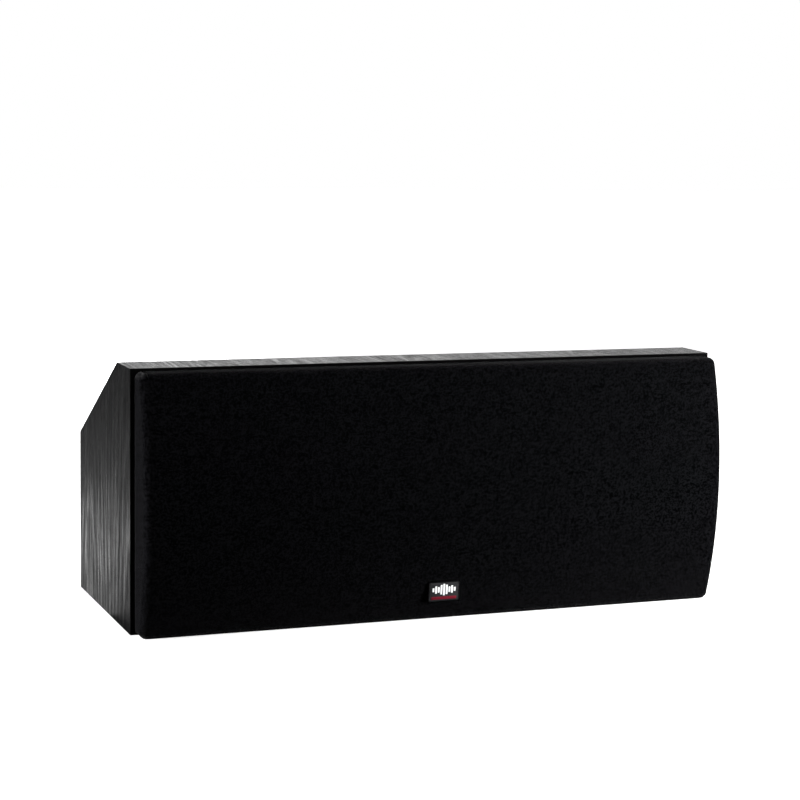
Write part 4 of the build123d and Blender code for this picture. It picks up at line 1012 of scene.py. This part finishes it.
gilt_brass = brushed("gilt_brass", (0.62, 0.42, 0.14), (0.86, 0.64, 0.28), 0.20, TURNED)
dress(gilt_brass, "red_post", "black_post", "post_nuts")
for colour, (dark, light) in KNOB_TONES.items():
    skin = moulded(f"{colour}_knob_skin", dark, light, 0.30, 1500.0, 0.00003)
    surface = fluted_knob(*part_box(f"{colour}_knob"))
    knob = grid_mesh(f"{colour}_fluted_knob", [surface], skin, closed_u=True, closed_v=True)
    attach(knob, f"{colour}_knob")
    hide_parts(f"{colour}_knob")


# Crossover: a brown circuit board on the posts' studs with two wound chokes, a sleeved and a boxed
# capacitor and a cement resistor. Leads run from it to strips of solder tags on the drivers.
TAG_LENGTH = 0.007
TAG_SKIN = 0.00005


def tag_strip(name, axis, face, sign):
    """Brown fibre up to the strip's own face along an axis, and tinned metal on the tags that stand beyond
    it."""
    material, tree, shader = finish(name, Specular_IOR_Level=0.5)
    place = object_place(tree)
    beyond = times(tree, math_node(tree, "SUBTRACT", axes(tree, place)[axis], face), sign)
    tag = math_node(tree, "GREATER_THAN", beyond, TAG_SKIN)
    fibre = drawn_noise(tree, place, (900.0, 900.0, 200.0), detail=3.0, roughness=0.6)
    brown = mixed(tree, fibre, (0.10, 0.040, 0.016), (0.20, 0.085, 0.036))
    tin = mixed(tree, fibre, (0.55, 0.55, 0.54), (0.72, 0.72, 0.70))
    feed(tree, shader, Base_Color=mixed(tree, tag, brown, tin), Metallic=tag,
         Roughness=from_noise(tree, fibre, 0.4, 0.6))
    bump(tree, shader, fibre, depth=0.00004, strength=0.5)
    return material


board, tree, shader = finish("circuit_board", Specular_IOR_Level=0.5)
fibres = drawn_noise(tree, object_place(tree), (1400.0, 1400.0, 300.0), detail=3.0, roughness=0.6)
feed(tree, shader, Base_Color=mixed(tree, fibres, (0.15, 0.085, 0.030), (0.27, 0.17, 0.075)),
     Roughness=from_noise(tree, fibres, 0.35, 0.5))
bump(tree, shader, fibres, depth=0.00004, strength=0.5)
dress(board, "crossover_board")
choke_wire = wound("choke_wire", (0.26, 0.08, 0.03), (0.80, 0.34, 0.16), pitch=0.0011)
dress(choke_wire, "low_pass_choke", "high_pass_choke")
sleeve = moulded("capacitor_sleeve", (0.020, 0.030, 0.10), (0.035, 0.050, 0.15), 0.26, 900.0, 0.00002)
dress(sleeve, "low_pass_capacitor")
capacitor_box = moulded("capacitor_box", (0.50, 0.36, 0.05), (0.60, 0.46, 0.09), 0.36, 1400.0, 0.00003)
dress(capacitor_box, "high_pass_capacitor")
cement = moulded("cement", (0.62, 0.61, 0.57), (0.78, 0.77, 0.73), 0.85, 500.0, 0.00015, gloss=0.3)
dress(cement, "tweeter_resistor")
lead_sleeve = moulded("lead_sleeve", grey(0.020, 0.002), grey(0.034, 0.002), 0.48, 1000.0, 0.00003)
dress(lead_sleeve, *(f"{driver}_lead" for driver in DRIVERS))
left_tags, right_tags, tweeter_tags = (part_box(f"{driver}_terminals") for driver in DRIVERS)
dress(tag_strip("left_tag_strip", "X", left_tags[1].x - TAG_LENGTH, 1.0), "left_woofer_terminals")
dress(tag_strip("right_tag_strip", "X", right_tags[0].x + TAG_LENGTH, -1.0), "right_woofer_terminals")
dress(tag_strip("tweeter_tag_strip", "Y", tweeter_tags[1].y - TAG_LENGTH, 1.0), "tweeter_terminals")


# Stage: a pale floor that fades into a pale backdrop, soft lamps above, behind, at the left and close on
# the right, and a long lens a little above the speaker, to the listener's left. Gloss mirrors a bright ring
# of floor behind the speaker and soft boxes in the backdrop: at the right, overhead and far left.
FLOOR = 9.0
floor_mesh = bpy.data.meshes.new("floor")
floor_corners = [(-FLOOR, -FLOOR, 0), (FLOOR, -FLOOR, 0), (FLOOR, FLOOR, 0), (-FLOOR, FLOOR, 0)]
floor_mesh.from_pydata(floor_corners, [], [(0, 1, 2, 3)])
floor = bpy.data.objects.new("floor", floor_mesh)
bpy.context.scene.collection.objects.link(floor)
floor_finish, tree, shader = finish(
    "floor", Roughness=0.9, Specular_IOR_Level=0.1, Emission_Color=(1, 1, 1, 1))
path = tree.nodes.new("ShaderNodeLightPath").outputs
x, y, z = axes(tree, object_place(tree))
away = root_of_squares(tree, x, y)
seen = times(tree, path["Is Camera Ray"], ramp(tree, away, 0.4, 1.3, 0.72, 1.0))
ring = times(tree, ramp(tree, away, 0.24, 0.40, 0.80, 1.78), ramp(tree, away, 0.38, 0.69, 1.0, 0.0))
behind = math_node(tree, "GREATER_THAN", y, 0.0)
mirrored = times(tree, path["Is Glossy Ray"], times(tree, ring, behind))
feed(tree, shader, Base_Color=mixed(tree, path["Is Camera Ray"], grey(0.06), grey(0.8)),
     Emission_Strength=plus(tree, seen, mirrored))
floor.data.materials.append(floor_finish)

world = bpy.data.worlds.new("studio")
world.use_nodes = True
bpy.context.scene.world = world
tree = world.node_tree
background = tree.nodes["Background"]
background.inputs["Color"].default_value = (1, 1, 1, 1)
path = tree.nodes.new("ShaderNodeLightPath").outputs
x, y, z = axes(tree, tree.nodes.new("ShaderNodeTexCoord").outputs["Generated"])
seen = math_node(tree, "MAXIMUM", path["Is Camera Ray"], path["Is Transmission Ray"])
bright_side = times(tree, ramp(tree, x, 0.02, 0.12, 0.01, 1.0), ramp(tree, x, 0.20, 0.50, 1.15, 0.80))
overhead = ramp(tree, z, 0.55, 0.85, 0.0, 0.5)
far_left = ramp(tree, x, -0.82, -0.95, 0.0, 0.5)
softboxes = math_node(tree, "MAXIMUM", bright_side, math_node(tree, "MAXIMUM", overhead, far_left))
mirrored = times(tree, path["Is Glossy Ray"], softboxes)
fill = times(tree, math_node(tree, "SUBTRACT", 1.0, path["Is Glossy Ray"]), 0.05)
strength = math_node(tree, "MAXIMUM", math_node(tree, "MAXIMUM", seen, mirrored), fill)
feed(tree, background, Strength=strength)


def lamp(name, place, target, size, power):
    """A square area lamp that looks at a target. Gloss doesn't mirror it, so it leaves no hot spot."""
    light = bpy.data.lights.new(name, "AREA")
    light.size = size
    light.energy = power
    made = bpy.data.objects.new(name, light)
    made.location = place
    made.visible_glossy = False
    made.rotation_mode = "QUATERNION"
    made.rotation_quaternion = (Vector(target) - Vector(place)).to_track_quat("-Z", "Y")
    bpy.context.scene.collection.objects.link(made)


lamp("top_lamp", place=(0.1, -0.25, 1.4), target=(0, 0, 0.1), size=0.6, power=18)
lamp("back_lamp", place=(0.2, 1.5, 0.45), target=(0, 0, 0.1), size=0.8, power=24)
lamp("left_lamp", place=(-1.3, 0.05, 0.11), target=(-0.2, 0, 0.1), size=0.2, power=54)
lamp("right_lamp", place=(0.47, -0.48, 0.15), target=(0.1, -0.1, 0.1), size=0.2, power=10)

CAMERA_PLACE = (-0.5702, -1.47595, 0.3640)
CAMERA_AZIMUTH = math.radians(-21.09)
CAMERA_ELEVATION = math.radians(7.62)
CAMERA_ROLL = math.radians(0.94)
CAMERA_LENS = 93.6
CAMERA_SENSOR = 36.0
back = Vector((math.sin(CAMERA_AZIMUTH) * math.cos(CAMERA_ELEVATION),
               -math.cos(CAMERA_AZIMUTH) * math.cos(CAMERA_ELEVATION), math.sin(CAMERA_ELEVATION)))
right = (-back).cross(Vector((0, 0, 1))).normalized()
up = right.cross(-back)
rolled_right = right * math.cos(CAMERA_ROLL) + up * math.sin(CAMERA_ROLL)
rolled_up = up * math.cos(CAMERA_ROLL) - right * math.sin(CAMERA_ROLL)
turned = Matrix((rolled_right, rolled_up, back)).transposed().to_4x4()
camera = bpy.data.objects.new("camera", bpy.data.cameras.new("camera"))
camera.data.lens = CAMERA_LENS
camera.data.sensor_width = CAMERA_SENSOR
camera.data.clip_start = 0.05
camera.data.clip_end = 50.0
camera.matrix_world = Matrix.Translation(CAMERA_PLACE) @ turned
bpy.context.scene.collection.objects.link(camera)
bpy.context.scene.camera = camera
bpy.context.scene.view_settings.view_transform = "Standard"
